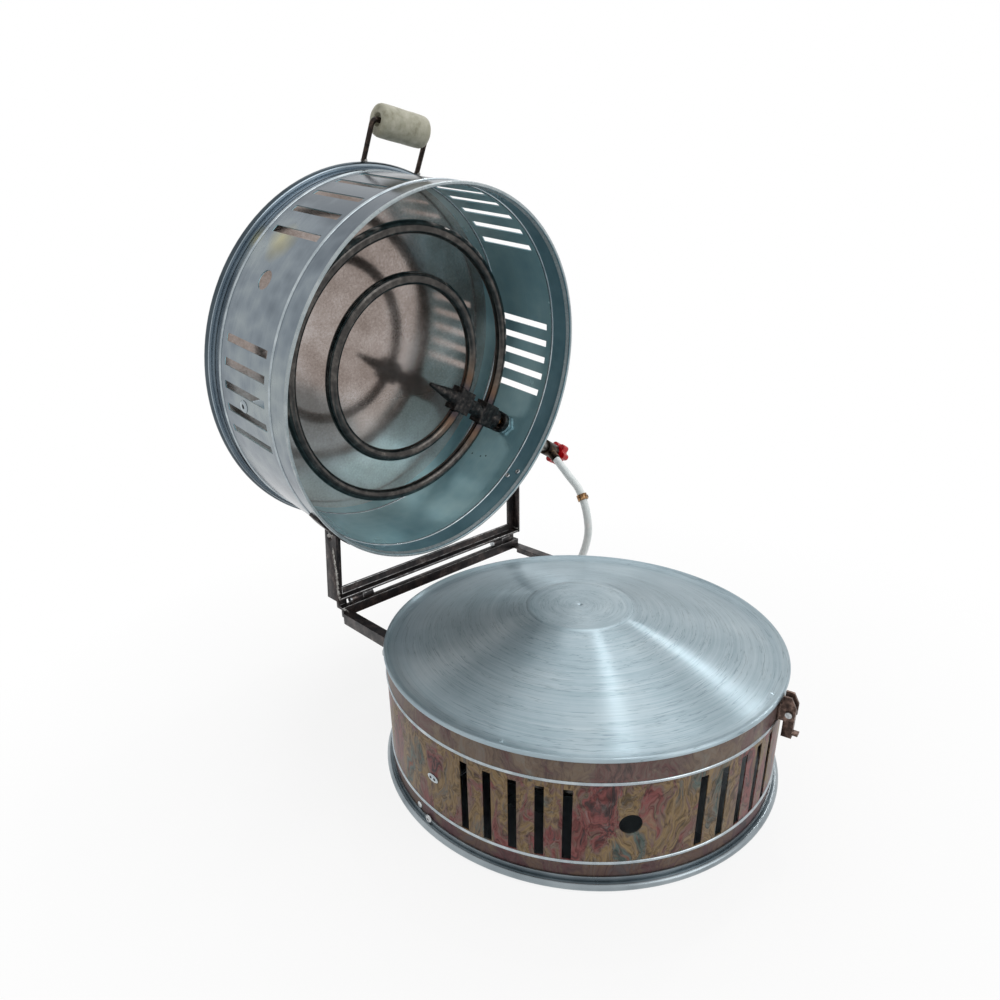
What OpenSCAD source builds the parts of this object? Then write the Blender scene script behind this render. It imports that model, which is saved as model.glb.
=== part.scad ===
// Gas tandoor: a vented drum with a domed baking plate, and a hinged lid drum with a burner of its own.
// Millimetres, +Z up. The origin is the middle of the drum's underside, the hinge lies along X at the back.
// The lid stands open, as it rests on its stops.

/* [Drums] */
// Outer radius of both sheet drums
drum_r = 203; // [190:1:220]
// Thickness of the drums' sheet
sheet = 1; // [0.8:0.1:2]
// Height of the base drum, floor included
base_h = 132.7; // [120:0.1:160]
// Depth of the lid drum, back plate included
lid_h = 154.7; // [145:0.1:190]
// Half width of the rolled stiffening beads
bead_r = 1.6; // [1.2:0.1:2.2]
// Height of the base drum's lower bead
base_bead_low = 26.4; // [20:0.1:32]
// Drop of the base drum's upper bead below the top edge
base_bead_drop = 21.4; // [20:0.1:26]
// Depth of the lid's front bead behind the mouth
lid_bead_front = 31.1; // [24:0.1:36]
// Distance of the lid's rear bead from the back
lid_bead_back = 23.2; // [16:0.1:30]
// Width of the base drum's inward top lip
lip_w = 14; // [12:0.5:20]

/* [Floor and back plate] */
// Thickness of the pressed floor and of the back plate
pan_t = 1.2; // [0.8:0.1:2]
// Height of the collar round the drum
collar_h = 12; // [10:0.5:13]
// Overhang of the rolled rim beyond the drum
rim_out = 7.6; // [6:0.1:9]
// Slip between drum and collar
collar_gap = 0.3; // [0.2:0.05:0.5]

/* [Vents] */
// Groups of slots on each drum, none of them beside the hinge
slot_groups = 4; // [2:1:4]
// Angle from group to group of the base drum
group_step = 60; // [56:0.5:60]
// Slots in a group
slots_in_group = 5; // [2:1:5]
// Width of a slot
slot_w = 8; // [4:0.5:10]
// Angle from slot to slot of the base drum
slot_pitch = 6.7; // [5.5:0.1:6.8]
// Distance of the base drum's slots from its lower bead
base_slot_low = 2.8; // [2.4:0.1:8]
// Distance of the base drum's slots from its upper bead
base_slot_high = 7.4; // [2.4:0.1:12]
// Distance of the lid's slots from its beads
lid_slot_margin = 10; // [4:0.5:14]
// Turn of the base drum's first group
base_slot_turn = 203.7; // [202:0.1:205]
// Turn of each of the lid's groups, as punched by hand
lid_slot_turns = [180.9, 244.1, 304.3, 361.3]; // [178:0.1:364]
// Angle from slot to slot in each of the lid's groups
lid_slot_pitches = [6.8, 8.2, 7.1, 6.1]; // [5.5:0.1:8.4]
// Radius of the round sight holes
sight_r = 10; // [7:0.5:12]
// Direction of the base drum's sight hole
base_sight_angle = -128; // [-131:0.5:-125]
// Height of the base drum's sight hole
base_sight_z = 68.5; // [60:0.5:75]
// Direction of the lid's sight hole
lid_sight_angle = -147.4; // [-149:0.1:-146]
// Depth of the lid's sight hole behind the mouth
lid_sight_depth = 83.5; // [76:0.5:90]
// Radius of the small drill holes in the lid's wall
drill_r = 1.2; // [0.8:0.1:2]

/* [Baking plate] */
// Overhang of the plate's edge beyond the drum
plate_over = 2; // [1:0.5:3]
// Thickness of the plate
plate_t = 2; // [1.5:0.1:2.5]
// Rise of the dome above the flange
plate_rise = 34.8; // [20:0.1:50]
// Radius of the flat middle
flat_r = 55; // [30:1:80]
// Width of the flat flange round the dome
plate_flange = 15; // [14:0.5:20]
// Radius of the rolled outer edge
edge_r = 2.2; // [1.6:0.1:2.6]
// Lift of the rolled edge above the drum's lip
edge_lift = 0.2; // [0.1:0.1:0.4]
// Share of the slope that steepens towards the foot
dome_bow = 0.25; // [0:0.05:0.5]
// Radius of the dimple left by the spinning centre
dimple_r = 3; // [2:0.5:5]
// Distance of the plate's rivets from the drum's outside
plate_rivet_inset = 7.5; // [7:0.1:8]

/* [Rivets] */
// Shank radius of a rivet
rivet_shank_r = 2; // [1.6:0.1:2.4]
// Head radius of a rivet
rivet_head_r = 3.4; // [3:0.1:3.8]
// Head height of a rivet
rivet_head_h = 1.3; // [0.8:0.1:1.6]
// Slip round a rivet's shank
rivet_slip = 0.1; // [0.05:0.05:0.2]
// Gap under a rivet's head on a curved sheet
rivet_seat = 0.1; // [0.05:0.05:0.2]
// Distance of a foot's rivet heads from the foot's ends
rivet_edge = 1; // [0.5:0.1:2]
// Height of the base seam's rivet above the collar
seam_rivet_up = 3.9; // [3.9:0.1:6]
// Drop of the collar's rivet below the collar's edge
collar_rivet_drop = 1; // [0.5:0.1:2]

/* [Burners] */
// Centreline radius of the outer ring
outer_ring_r = 155; // [145:1:165]
// Centreline radius of the inner ring
inner_ring_r = 103; // [90:1:112]
// Radius of the ring tubes
ring_tube_r = 7; // [5.5:0.1:8]
// Wall of the ring tubes
ring_wall = 1.5; // [1:0.1:2]
// Height of the base burner above the floor's underside
base_feed_z = 64.6; // [60:0.1:70]
// Depth of the lid burner behind the mouth
lid_feed_depth = 77; // [68:0.5:84]
// Direction of the base burner's feed pipe
base_feed_angle = 52; // [50:0.5:53]
// Direction of the lid burner's feed pipe
lid_feed_angle = 29.3; // [28.5:0.1:31]
// Radius of the mixing tube
mixer_r = 9.5; // [8.5:0.1:11]
// Bore of the mixing tube
mixer_bore_r = 6.5; // [5:0.1:7]
// Distance of the mixing tube's pointed tail from the middle
tail_tip_r = 43; // [35:1:60]
// Length of the sockets that take the ring ends
socket_len = 26; // [20:1:30]
// Width of those sockets
socket_w = 30; // [26:1:36]
// Height of those sockets
socket_h = 20; // [18:0.5:24]
// Outer radius of the bell mouth
bell_r = 14; // [12:0.5:16]
// Length of the air window behind the bell mouth
window_len = 12; // [8:0.5:14]
// Length of the collar that screws on the feed pipe
mixer_collar_len = 8; // [6:0.5:9]
// Overlap of the air window's struts with bell and collar
strut_in = 2; // [1:0.5:3]

/* [Valves] */
// Radius of the feed pipes
stem_r = 8; // [6.5:0.1:9]
// Bore of the feed pipes
stem_bore_r = 5; // [3.5:0.1:5.5]
// Distance of the base valve from the middle
base_valve_dist = 250; // [246:1:254]
// Distance of the lid valve from the middle
lid_valve_dist = 321; // [300:1:335]
// Width over the flats of the lock nuts
nut_af = 24; // [22:0.5:28]
// Gap between the lock nuts and the curved wall
nut_seat = 0.8; // [0.5:0.1:0.9]
// Thickness of the lock nuts
nut_t = 6; // [4:0.5:8]
// Clearance of the wall's holes round the feed pipes
pipe_clear = 1; // [0.5:0.1:2]
// Gap between the inner lock nuts and the mixing tubes
thread_gap = 0.2; // [0.1:0.1:0.5]
// Radius of the valve bodies
valve_r = 11; // [10:0.5:13]
// Length of the valve bodies
valve_len = 26; // [22:1:30]
// Length of the gland nuts on the valve bodies
gland_len = 2; // [1.5:0.5:3]
// Width over the flats of the gland nuts
gland_af = 16.5; // [14:0.5:18]
// Radius of the knob spindles
spindle_r = 3; // [2.5:0.1:4]
// Depth of the spindles in the valve bodies
spindle_in = 10; // [6:0.5:12]
// Gap behind the spindles in their bores
spindle_end = 0.5; // [0.3:0.1:1]
// Depth of the spindles in the knobs
spindle_hold = 1; // [0.5:0.5:4]
// Free length of the base knob's spindle, which clears the tee
base_spindle_out = 14; // [13:0.5:18]
// Free length of the lid knob's spindle
lid_spindle_out = 4; // [2:0.5:8]
// Slip of the spindles in their bores
spindle_slip = 0.05; // [0.02:0.01:0.1]
// Outer radius of the knobs
knob_r = 17.5; // [15:0.5:20]
// Thickness of the knobs
knob_t = 14; // [10:0.5:18]
// Lobes of a knob
knob_lobes = 6; // [4:1:8]
// Radius of a knob's lobes
lobe_r = 5.5; // [4:0.5:6.5]
// Radius of the valve ports
port_r = 6.5; // [5.5:0.1:8]
// Reach of the lid valve's port from the valve's middle
lid_port_reach = 22; // [18:1:26]
// Turn of the lid valve's port about its feed pipe
lid_port_turn = 24; // [20:0.5:28]
// Reach of the tee from the base valve
tee_reach = 28; // [26:1:30]
// Radius of the tee's body
tee_r = 9; // [8:0.5:10]
// Step from the tee's body to its supply branch
tee_step = 1; // [0.5:0.5:2]
// Reach of the tee's supply nipple
supply_reach = 36; // [30:1:44]
// Radius of the hose nipples
nipple_r = 4.5; // [3.5:0.1:5.5]
// Rise of the ring on a hose nipple
ring_rise = 0.8; // [0.5:0.1:1]
// Length of the hose nipples
nipple_len = 20; // [14:1:24]

/* [Burner brackets] */
// Direction of the base burner's bracket
base_bracket_angle = 179.4; // [178:0.2:181]
// Direction of the lid burner's bracket
lid_bracket_angle = 177; // [176.8:0.1:177.8]
// Width of the bracket straps
strap_w = 14; // [10:0.5:16]
// Thickness of the bracket straps
strap_t = 2; // [1.5:0.1:3]
// Gap between the base bracket's nut and the strap's shelf
base_nut_gap = 1.1; // [0.5:0.1:4]
// Gap between the lid bracket's nut and the strap's shelf
lid_nut_gap = 0.2; // [0.1:0.1:4]
// Radius of the bracket bolts
bolt_r = 3; // [2.5:0.1:3.5]
// Head height of the bracket bolts
bolt_head_h = 3; // [2:0.5:4]
// Reach of the bracket bolts beyond their nuts
bolt_tail = 2; // [1:0.5:4]

/* [Hinge] */
// Distance of the hinge line behind the drum
hinge_out = 27.5; // [26:0.5:36]
// Height of the hinge line above the lid's mouth
hinge_rise = 4.4; // [3:0.1:8]
// Gap between the shut lid and the plate's edge
mouth_gap = 0.7; // [0.5:0.1:2]
// Angle at which the open lid rests
open_angle = 81; // [70:1:88]
// Radius of the hinge barrels
barrel_r = 4; // [3.5:0.1:5]
// Radius of the hinge pins
pin_r = 2.4; // [2:0.1:2.8]
// Slip of the pins in the fixed barrels
pin_fit = 0.02; // [0.01:0.01:0.05]
// Length of the hinge pins' heads
pin_head = 1.7; // [1:0.1:2.5]
// Slip of the pins in the moving barrels
pin_slip = 0.05; // [0.02:0.01:0.1]
// Length of each barrel
barrel_len = 15; // [10:0.5:18]
// End play between the barrels of a pair
barrel_play = 0.4; // [0.3:0.1:0.6]
// Gap between a barrel and the bar of the other half
barrel_gap = 0.4; // [0.3:0.1:1]
// Distance of the hinges from the middle
hinge_half = 115; // [95:1:118]
// Width of the weld beads under and over the barrels
weld_w = 5; // [3:0.5:6]
// Bite of those weld beads into the barrels
weld_bite = 0.3; // [0.2:0.1:0.5]

/* [Hinge frame] */
// Thickness of the rolled sections
section_t = 3; // [2.5:0.1:4]
// Half length of the lower bar
lower_half = 145; // [140:1:148]
// Depth of the lower bar's top leg
lower_bar_d = 8.5; // [7.5:0.5:14]
// Height of the lower bar's front leg
lower_bar_h = 12; // [10:0.5:18]
// Lead of the lower bar's front face before the hinge line
lower_lead = 4.5; // [4:0.1:5]
// Drop of the lower arms below the lower bar's top
arm_drop = 7; // [6.5:0.1:9]
// Height of the lower arms
arm_h = 13; // [10:0.5:13]
// Width of the lower arms' top leg
arm_w = 12; // [10:0.5:14]
// Half width over the upper arms
upper_half = 149; // [147:1:154]
// Width of the upper frame's flanges
flange_w = 22; // [18:0.5:26]
// Height of the upper frame's webs
web_h = 9; // [6:0.5:10]
// Inward lean of the left upper arm
left_arm_lean = 4.5; // [0:0.5:5]
// Inward lean of the right upper arm
right_arm_lean = 0; // [0:0.5:5]
// Lead of the upper flange before the hinge line
upper_lead = 3.5; // [3:0.1:4]
// Width of the stops under the open frame
stop_w = 12; // [8:0.5:12]
// Gap between the stops and the open frame
stop_gap = 0.3; // [0.2:0.1:0.5]
// Gap between the stops and the barrels
stop_back = 0.5; // [0.3:0.1:0.6]
// Thickness of the curved feet on the drums
foot_t = 2.5; // [2:0.1:3]
// Width of a foot round the drum
foot_w = 56.7; // [53:0.1:64]
// Gap under the curved feet
foot_gap = 0.1; // [0.05:0.05:0.2]
// Gap between the straps and the curved wall
wall_gap = 0.3; // [0.2:0.1:0.5]
// Depth of the upper feet behind the lid's mouth
upper_foot_front = 11; // [9:0.5:12]
// Length of the upper feet
upper_foot_len = 18; // [17.5:0.5:18]
// Swing of the upper feet's front rivets from the foot's middle
front_rivet_swing = -1; // [-4:0.5:0]
// Swing of the upper feet's rear rivets from the foot's middle
rear_rivet_swing = 10; // [9:0.5:14]
// Distance of the upper feet's rear rivets from the feet's rear edge
rear_rivet_inset = 3.2; // [3.2:0.1:4]
// Clearance round the upper feet's rivet heads
head_clear = 1; // [0.5:0.1:2]

/* [Handle] */
// Radius of the handle's wire
wire_r = 2.8; // [2.4:0.1:3.2]
// Half distance between the handle's legs
leg_half = 37.5; // [32:0.5:42]
// Height of the grip above the back plate's rim
grip_up = 38.5; // [34:0.5:50]
// Direction of the handle on the shut lid
handle_angle = -82; // [-90:0.5:-75]
// Lean of the handle towards the mouth
handle_lean = 12; // [0:1:18]
// Radius of the grip
grip_r = 16.2; // [11:0.1:18]
// End play of the grip between the legs
grip_play = 2.2; // [1:0.1:4]
// Slip of the wire in the grip
grip_slip = 0.08; // [0.04:0.01:0.1]
// Radius of the recess at each end of the grip
recess_r = 6.5; // [4.5:0.1:8]
// Depth of that recess
recess_d = 6; // [2:0.5:8]

/* [Latch] */
// Direction of the latch
latch_angle = -79; // [-80:0.5:-77]
// Distance of the latch pin outside the drum
latch_out = 10; // [9.5:0.1:11]
// Drop of the latch pin below the base drum's top edge
latch_drop = 11; // [10:0.1:12]
// Radius of the latch pin
latch_pin_r = 1.8; // [1.5:0.1:2.2]
// Slip of the lever on its pin
latch_slip = 0.06; // [0.03:0.01:0.1]
// Radius of the lever's eye
eye_r = 5; // [4.5:0.1:5.5]
// Thickness of the lever between the ears
lever_w = 7; // [5:0.5:12]
// Width of the lever's arm, seen from the side
lever_d = 9; // [6:0.5:9.5]
// Thickness of the bracket and of the lever's catch
latch_t = 2; // [1.5:0.1:2.4]
// Thickness of the latch pin's heads
latch_head_t = 1.9; // [1:0.1:2.5]
// Overhang of the latch pin's heads
latch_head_rise = 1.2; // [0.8:0.1:2]
// Length of the lever
lever_len = 26; // [22:0.5:30]
// Distance of the lever's catch from the pin
catch_at = 20; // [19.8:0.1:22]
// Reach of the lever's catch from the pin
catch_reach = 9.4; // [8:0.1:9.6]
// Gap beside the lever
lever_gap = 0.4; // [0.3:0.1:0.6]
// Reach of the bracket's ears below the pin
ear_low = 8; // [6:0.1:8]
// Reach of the bracket's plate above and below the pin
plate_high = 9; // [8:0.1:9.5]
// Height above the pin at which the ears step out past the baking plate's edge
ear_step = 7.5; // [6.5:0.1:7.8]
// Reach of the ears' tips above the pin
ear_high = 17; // [14:0.5:20]
// Reach of the ears beyond the pin
ear_fore = 5; // [4.5:0.1:7]
// Gap between the ears and the baking plate's edge
ear_gap = 1; // [0.5:0.1:1.5]

/* [Hose] */
// Radius of the hose
hose_r = 5.6; // [5:0.1:6.4]
// Width of the hose clamps
clamp_w = 9; // [7:0.5:12]
// Thickness of the hose clamps
clamp_t = 1.5; // [1.2:0.1:2]
// Height of the hose clamps' lugs
clamp_lug = 5; // [4:0.5:7]
// Gap between the hose and the tee's nipple
hose_gap = 0.3; // [0.2:0.05:0.5]
// Gap between clamp and hose
clamp_gap = 0.5; // [0.4:0.05:0.6]

/* [Hidden] */
// Turn and pitch of each of the base drum's groups of slots
base_slot_turns = [for (group = [0 : slot_groups - 1]) base_slot_turn + group * group_step];
base_slot_pitches = [for (group = [0 : slot_groups - 1]) slot_pitch];
$fn = 64;
pi_deg = 180 / PI;
eps = 0.02;
// Reach of a cut beyond the wall that it goes through
through = 4;

// Heights and places that follow from the sizes above
plate_z = base_h + plate_t;
plate_r = drum_r + plate_over;
dome_foot_r = plate_r - plate_flange;
plate_rivet_circle = drum_r - plate_rivet_inset;
mouth_z = base_h + edge_lift + 2 * edge_r + mouth_gap;
hinge_y = drum_r + hinge_out;
hinge_z = mouth_z + hinge_rise;
lower_top = hinge_z - barrel_r - barrel_gap;
upper_low = hinge_z + barrel_r + barrel_gap;
lower_front = hinge_y - lower_lead;
upper_front = hinge_y - upper_lead;
arm_top = lower_top - arm_drop;
rim_r = drum_r + rim_out;
roll_r = (rim_out - collar_gap) / 2;
base_bead_high = base_h - base_bead_drop;
lid_bead_rear = lid_h - lid_bead_back;
web_mid = upper_front + flange_w / 2;
foot_mid_r = drum_r + foot_gap + foot_t / 2;
rim_clear = plate_over + ear_gap;
thread_end = drum_r - sheet - nut_t - nut_seat - thread_gap;
strap_wall = drum_r - sheet - wall_gap;
bolt_nut_af = 4 * bolt_r;
grip_len = 2 * (leg_half - wire_r - grip_play);
foot_half = pi_deg * foot_w / 2 / drum_r;
stop_y = hinge_y + barrel_r + stop_back;

// Shelf of each burner bracket, and the bolt above it, measured from the burner's middle
base_shelf = -ring_tube_r - strap_t;
base_bolt_up = base_shelf + strap_t + bolt_nut_af / 2 / cos(30) + base_nut_gap;
lid_shelf = -strap_t;
lid_bolt_up = bolt_nut_af / 2 / cos(30) + lid_nut_gap;

// Directions of the curved feet, where the arms meet the drums
lower_foot_angle = acos((lower_half - arm_w / 2) / drum_r);
upper_foot_angle = acos((upper_half - section_t) / drum_r);
lower_foot_mid = arm_top - arm_h / 2;
lower_rivet_swing = foot_half - pi_deg * (rivet_head_r + rivet_edge) / drum_r;

// Places of the rivets: direction and height, or direction and depth
plate_rivet_angles = [-79, 20, 116, 200];
shell_rivet_place = [172, collar_h + seam_rivet_up];
collar_rivet_place = [176.7, collar_h - collar_rivet_drop];
upper_rivet_places = [
    [upper_foot_angle + pi_deg * front_rivet_swing / drum_r, upper_foot_front + rivet_head_r + rivet_edge],
    [upper_foot_angle + pi_deg * rear_rivet_swing / drum_r,
        upper_foot_front + upper_foot_len - rear_rivet_inset]];
drill_places = [[44.9, 101.6], [44.5, 85.9], [43.5, 78.1]];

// Middle of the base valve and of the tee, end of the tee's hose nipple
base_valve_pos = [base_valve_dist * cos(base_feed_angle), base_valve_dist * sin(base_feed_angle),
    base_feed_z];
tee_pos = base_valve_pos + [tee_reach, 0, 0];
hose_end = tee_pos + [tee_r + nipple_len + hose_gap, 0, 0];

// End of the lid valve's nipple with the lid shut, then with the lid open
lid_port_dir = [-sin(lid_feed_angle) * sin(lid_port_turn), cos(lid_feed_angle) * sin(lid_port_turn),
    -cos(lid_port_turn)];
lid_valve_shut = [lid_valve_dist * cos(lid_feed_angle), lid_valve_dist * sin(lid_feed_angle),
    mouth_z + lid_feed_depth];
nipple_shut = lid_valve_shut + (lid_port_reach + nipple_len) * lid_port_dir;

function opened_dir(v) = [v[0], v[1] * cos(open_angle) + v[2] * sin(open_angle),
    v[2] * cos(open_angle) - v[1] * sin(open_angle)];
function opened(p) = [0, hinge_y, hinge_z] + opened_dir(p - [0, hinge_y, hinge_z]);

hose_start = opened(nipple_shut);
hose_start_dir = opened_dir(lid_port_dir);

// Route of the hose from the lid valve to the tee
hose_mid = [[263, 218, 184], [260, 204, 166], [260, 197, 144], [262, 196, 121], [259, 198, 98],
    [248, 199, 79], [231, 198, 68]];
hose_lead = 20;
hose_route = concat([hose_start, hose_start + hose_lead * hose_start_dir], hose_mid, [hose_end]);
hose_steps = 3;
hose_sides = 10;
upper_clamp_step = 8;

galvanised = [0.62, 0.66, 0.68];
printed = [0.45, 0.3, 0.22];
aluminium = [0.8, 0.82, 0.85];
mill_scale = [0.2, 0.16, 0.13];
burner_steel = [0.3, 0.3, 0.32];
brass = [0.72, 0.56, 0.3];
bright_steel = [0.75, 0.75, 0.76];

// Puts a piece of the shut lid, drawn above its mouth, where it stands with the lid open
module on_open_lid() {
    translate([0, hinge_y, hinge_z])
        rotate([-open_angle, 0, 0])
            translate([0, -hinge_y, mouth_z - hinge_z])
                children();
}

// Turns a piece drawn along X to a direction and height of a drum
module facing(angle, height) {
    rotate([0, 0, angle])
        translate([0, 0, height])
            children();
}

// A round bar along X from one distance to another
module bar_x(from, to, radius) {
    translate([from, 0, 0])
        rotate([0, 90, 0])
            cylinder(r = radius, h = to - from);
}

// A hexagonal prism along X
module hex_x(from, to, flats) {
    translate([from, 0, 0])
        rotate([0, 90, 0])
            cylinder(d = flats / cos(30), h = to - from, $fn = 6);
}

// Slots of a drum between two heights
module slots(turns, pitches, low, high) {
    for (group = [0 : slot_groups - 1], slot = [0 : slots_in_group - 1])
        rotate([0, 0, turns[group] + (slot - (slots_in_group - 1) / 2) * pitches[group]])
            translate([drum_r - sheet - through, -slot_w / 2, low])
                cube([sheet + 2 * through, slot_w, high - low]);
}

// A hole through a drum's wall
module wall_hole(angle, height, radius) {
    facing(angle, height)
        bar_x(drum_r - sheet - through, drum_r + foot_t + through, radius);
}

// A rivet along X through sheets from one distance to another
module rivet_x(from, to) {
    bar_x(from - rivet_head_h, to + rivet_head_h, rivet_shank_r);
    bar_x(from - rivet_head_h, from - eps, rivet_head_r);
    bar_x(to + eps, to + rivet_head_h, rivet_head_r);
}

// The pressed pan that closes both drums
module end_pan() {
    rotate_extrude() {
        square([drum_r + collar_gap + pan_t, pan_t]);
        translate([drum_r + collar_gap, 0])
            square([pan_t, collar_h]);
        translate([rim_r - roll_r, roll_r])
            circle(roll_r);
    }
}

// A curved foot on a drum
module foot(angle, low, high) {
    translate([0, 0, low])
        rotate([0, 0, angle - foot_half])
            rotate_extrude(angle = 2 * foot_half)
                translate([drum_r + foot_gap, 0])
                    square([foot_t, high - low]);
}

// A ring tube, open where it enters the mixing tube's socket
module ring_tube(radius) {
    difference() {
        rotate_extrude()
            translate([radius, 0])
                circle(ring_tube_r);
        rotate_extrude()
            translate([radius, 0])
                circle(ring_tube_r - ring_wall);
        translate([0, -socket_w / 2 - eps, -socket_h])
            cube([2 * radius, socket_w + 2 * eps, 2 * socket_h]);
    }
}

// The cast mixing tube with its two sockets, bell mouth, air window and collar
module mixing_tube() {
    collar_start = thread_end - mixer_collar_len;
    bell_end = collar_start - window_len;
    bell_start = bell_end - bell_r;
    tail_start = inner_ring_r - socket_len / 2;
    difference() {
        union() {
            translate([tail_tip_r, 0, 0])
                rotate([0, 90, 0])
                    cylinder(r1 = mixer_r / 4, r2 = mixer_r, h = tail_start - tail_tip_r);
            bar_x(tail_start, bell_start, mixer_r);
            translate([bell_start, 0, 0])
                rotate([0, 90, 0])
                    cylinder(r1 = mixer_r, r2 = bell_r, h = bell_end - bell_start);
            for (radius = [inner_ring_r, outer_ring_r])
                translate([radius - socket_len / 2, -socket_w / 2, -socket_h / 2])
                    cube([socket_len, socket_w, socket_h]);
            for (side = [-1, 1])
                translate([bell_end - strut_in, side * (bell_r - section_t / 2) - section_t / 2, -section_t])
                    cube([window_len + 2 * strut_in, section_t, 2 * section_t]);
            bar_x(collar_start, thread_end, bell_r);
        }
        bar_x(inner_ring_r, bell_end + eps, mixer_bore_r);
        bar_x(collar_start - eps, thread_end + eps, stem_r + rivet_slip);
    }
}

// The brass jet that blows into the bell mouth
module jet() {
    start = thread_end - mixer_collar_len;
    difference() {
        union() {
            translate([start - window_len / 2, 0, 0])
                rotate([0, 90, 0])
                    cylinder(r1 = stem_r / 4, r2 = stem_r / 2, h = window_len / 2);
            hex_x(start, start + mixer_collar_len / 2, 1.6 * stem_r);
        }
        bar_x(start - window_len, start + mixer_collar_len, stem_r / 8);
    }
}

// The feed pipe from the jet to the valve
module feed_pipe(valve_dist) {
    difference() {
        bar_x(thread_end - mixer_collar_len / 2, valve_dist - valve_len / 2, stem_r);
        bar_x(thread_end - mixer_collar_len, valve_dist, stem_bore_r);
    }
}

// Lock nuts on both sides of the drum's wall
module lock_nuts() {
    difference() {
        union() {
            hex_x(drum_r - sheet - nut_seat - nut_t, drum_r - sheet - nut_seat, nut_af);
            hex_x(drum_r + rivet_seat, drum_r + rivet_seat + nut_t, nut_af);
        }
        bar_x(thread_end, drum_r + rivet_seat + nut_t + eps, stem_r + rivet_slip);
    }
}

// A valve body along its feed pipe, with the bore for the knob's spindle
module valve_barrel(valve_dist) {
    difference() {
        union() {
            bar_x(valve_dist - valve_len / 2, valve_dist + valve_len / 2, valve_r);
            hex_x(valve_dist + valve_len / 2 - eps, valve_dist + valve_len / 2 + gland_len, gland_af);
        }
        bar_x(valve_dist + valve_len / 2 - spindle_in, valve_dist + valve_len, spindle_r + spindle_slip);
    }
}

// A lobed knob with its spindle
module lobed_knob(valve_dist, spindle_out) {
    body_end = valve_dist + valve_len / 2;
    knob_start = body_end + gland_len + spindle_out;
    bar_x(body_end - spindle_in + spindle_end, knob_start + spindle_hold, spindle_r);
    translate([knob_start, 0, 0])
        rotate([0, 90, 0])
            linear_extrude(knob_t) {
                circle(knob_r - lobe_r);
                for (lobe = [0 : knob_lobes - 1])
                    rotate(lobe * 360 / knob_lobes)
                        translate([knob_r - lobe_r, 0])
                            circle(lobe_r);
            }
}

// A hose nipple along Z with a raised ring near its root
module nipple() {
    cylinder(r = nipple_r, h = nipple_len);
    translate([0, 0, nipple_len / 5])
        cylinder(r = nipple_r + ring_rise, h = ring_rise);
}

// A strap from the drum's wall inwards, drawn along X with the burner's middle at height zero
module burner_strap(from, shelf, bolt_up) {
    difference() {
        union() {
            translate([from, -strap_w / 2, shelf])
                cube([strap_wall - from, strap_w, strap_t]);
            translate([strap_wall - strap_t, -strap_w / 2, shelf])
                cube([strap_t, strap_w, bolt_up + 2 * bolt_r - shelf]);
        }
        translate([0, 0, bolt_up])
            bar_x(strap_wall - strap_t - through, strap_wall + through, bolt_r + rivet_slip);
    }
}

// The bolt of that strap with its nut inside
module strap_bolt(bolt_up) {
    translate([0, 0, bolt_up]) {
        bar_x(strap_wall - strap_t - bolt_head_h - bolt_tail, drum_r + bolt_head_h, bolt_r);
        hex_x(strap_wall - strap_t - bolt_head_h, strap_wall - strap_t - eps, bolt_nut_af);
        bar_x(drum_r + rivet_seat, drum_r + bolt_head_h, 2 * bolt_r);
    }
}

// A barrel along X round the hinge line
module barrel(from, bore) {
    translate([from, hinge_y, hinge_z])
        rotate([0, 90, 0])
            difference() {
                cylinder(r = barrel_r, h = barrel_len);
                translate([0, 0, -through])
                    cylinder(r = bore, h = barrel_len + 2 * through);
            }
}

// A lower barrel with the weld that joins it to the lower bar
module lower_barrel(from) {
    barrel(from, pin_r + pin_fit);
    difference() {
        translate([from, hinge_y - weld_w / 2, lower_top])
            cube([barrel_len, weld_w, barrel_r / 2]);
        translate([0, hinge_y, hinge_z])
            bar_x(from - through, from + barrel_len + through, barrel_r - weld_bite);
    }
}

// An upper barrel with the weld that joins it to the upper bar
module upper_barrel(from) {
    barrel(from, pin_r + pin_slip);
    difference() {
        translate([from, hinge_y - weld_w / 2, upper_low - barrel_r / 2])
            cube([barrel_len, weld_w, barrel_r / 2]);
        translate([0, hinge_y, hinge_z])
            bar_x(from - through, from + barrel_len + through, barrel_r - weld_bite);
    }
}

// A hinge pin through a pair of barrels
module hinge_pin(from) {
    translate([0, hinge_y, hinge_z]) {
        bar_x(from - pin_head, from + 2 * barrel_len + barrel_play, pin_r);
        bar_x(from - pin_head, from - rivet_seat, barrel_r - stop_back);
    }
}

// The right lower arm with its curved foot
module lower_arm() {
    difference() {
        union() {
            difference() {
                union() {
                    translate([lower_half - section_t, drum_r / 2, arm_top - arm_h])
                        cube([section_t, lower_front - drum_r / 2, arm_h]);
                    translate([lower_half - arm_w, drum_r / 2, arm_top - section_t])
                        cube([arm_w, lower_front - drum_r / 2, section_t]);
                }
                cylinder(r = foot_mid_r, h = 2 * base_h);
            }
            foot(lower_foot_angle, arm_top - arm_h, arm_top);
        }
        lower_rivet_holes(rivet_shank_r + rivet_slip);
    }
}

// Holes for the rivets of the right lower foot
module lower_rivet_holes(radius) {
    for (side = [-1, 1])
        wall_hole(lower_foot_angle + side * lower_rivet_swing, lower_foot_mid, radius);
}

// The bars of the right upper arm, which lean inwards from its lower corner
module upper_arm_bars(lean) {
    translate([upper_half, upper_front, upper_low])
        rotate([0, -lean, 0]) {
            translate([-section_t, 0, 0])
                cube([section_t, flange_w, drum_r]);
            translate([-section_t - web_h, (flange_w - section_t) / 2, section_t])
                cube([web_h + section_t / 2, section_t, drum_r]);
        }
}

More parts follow.
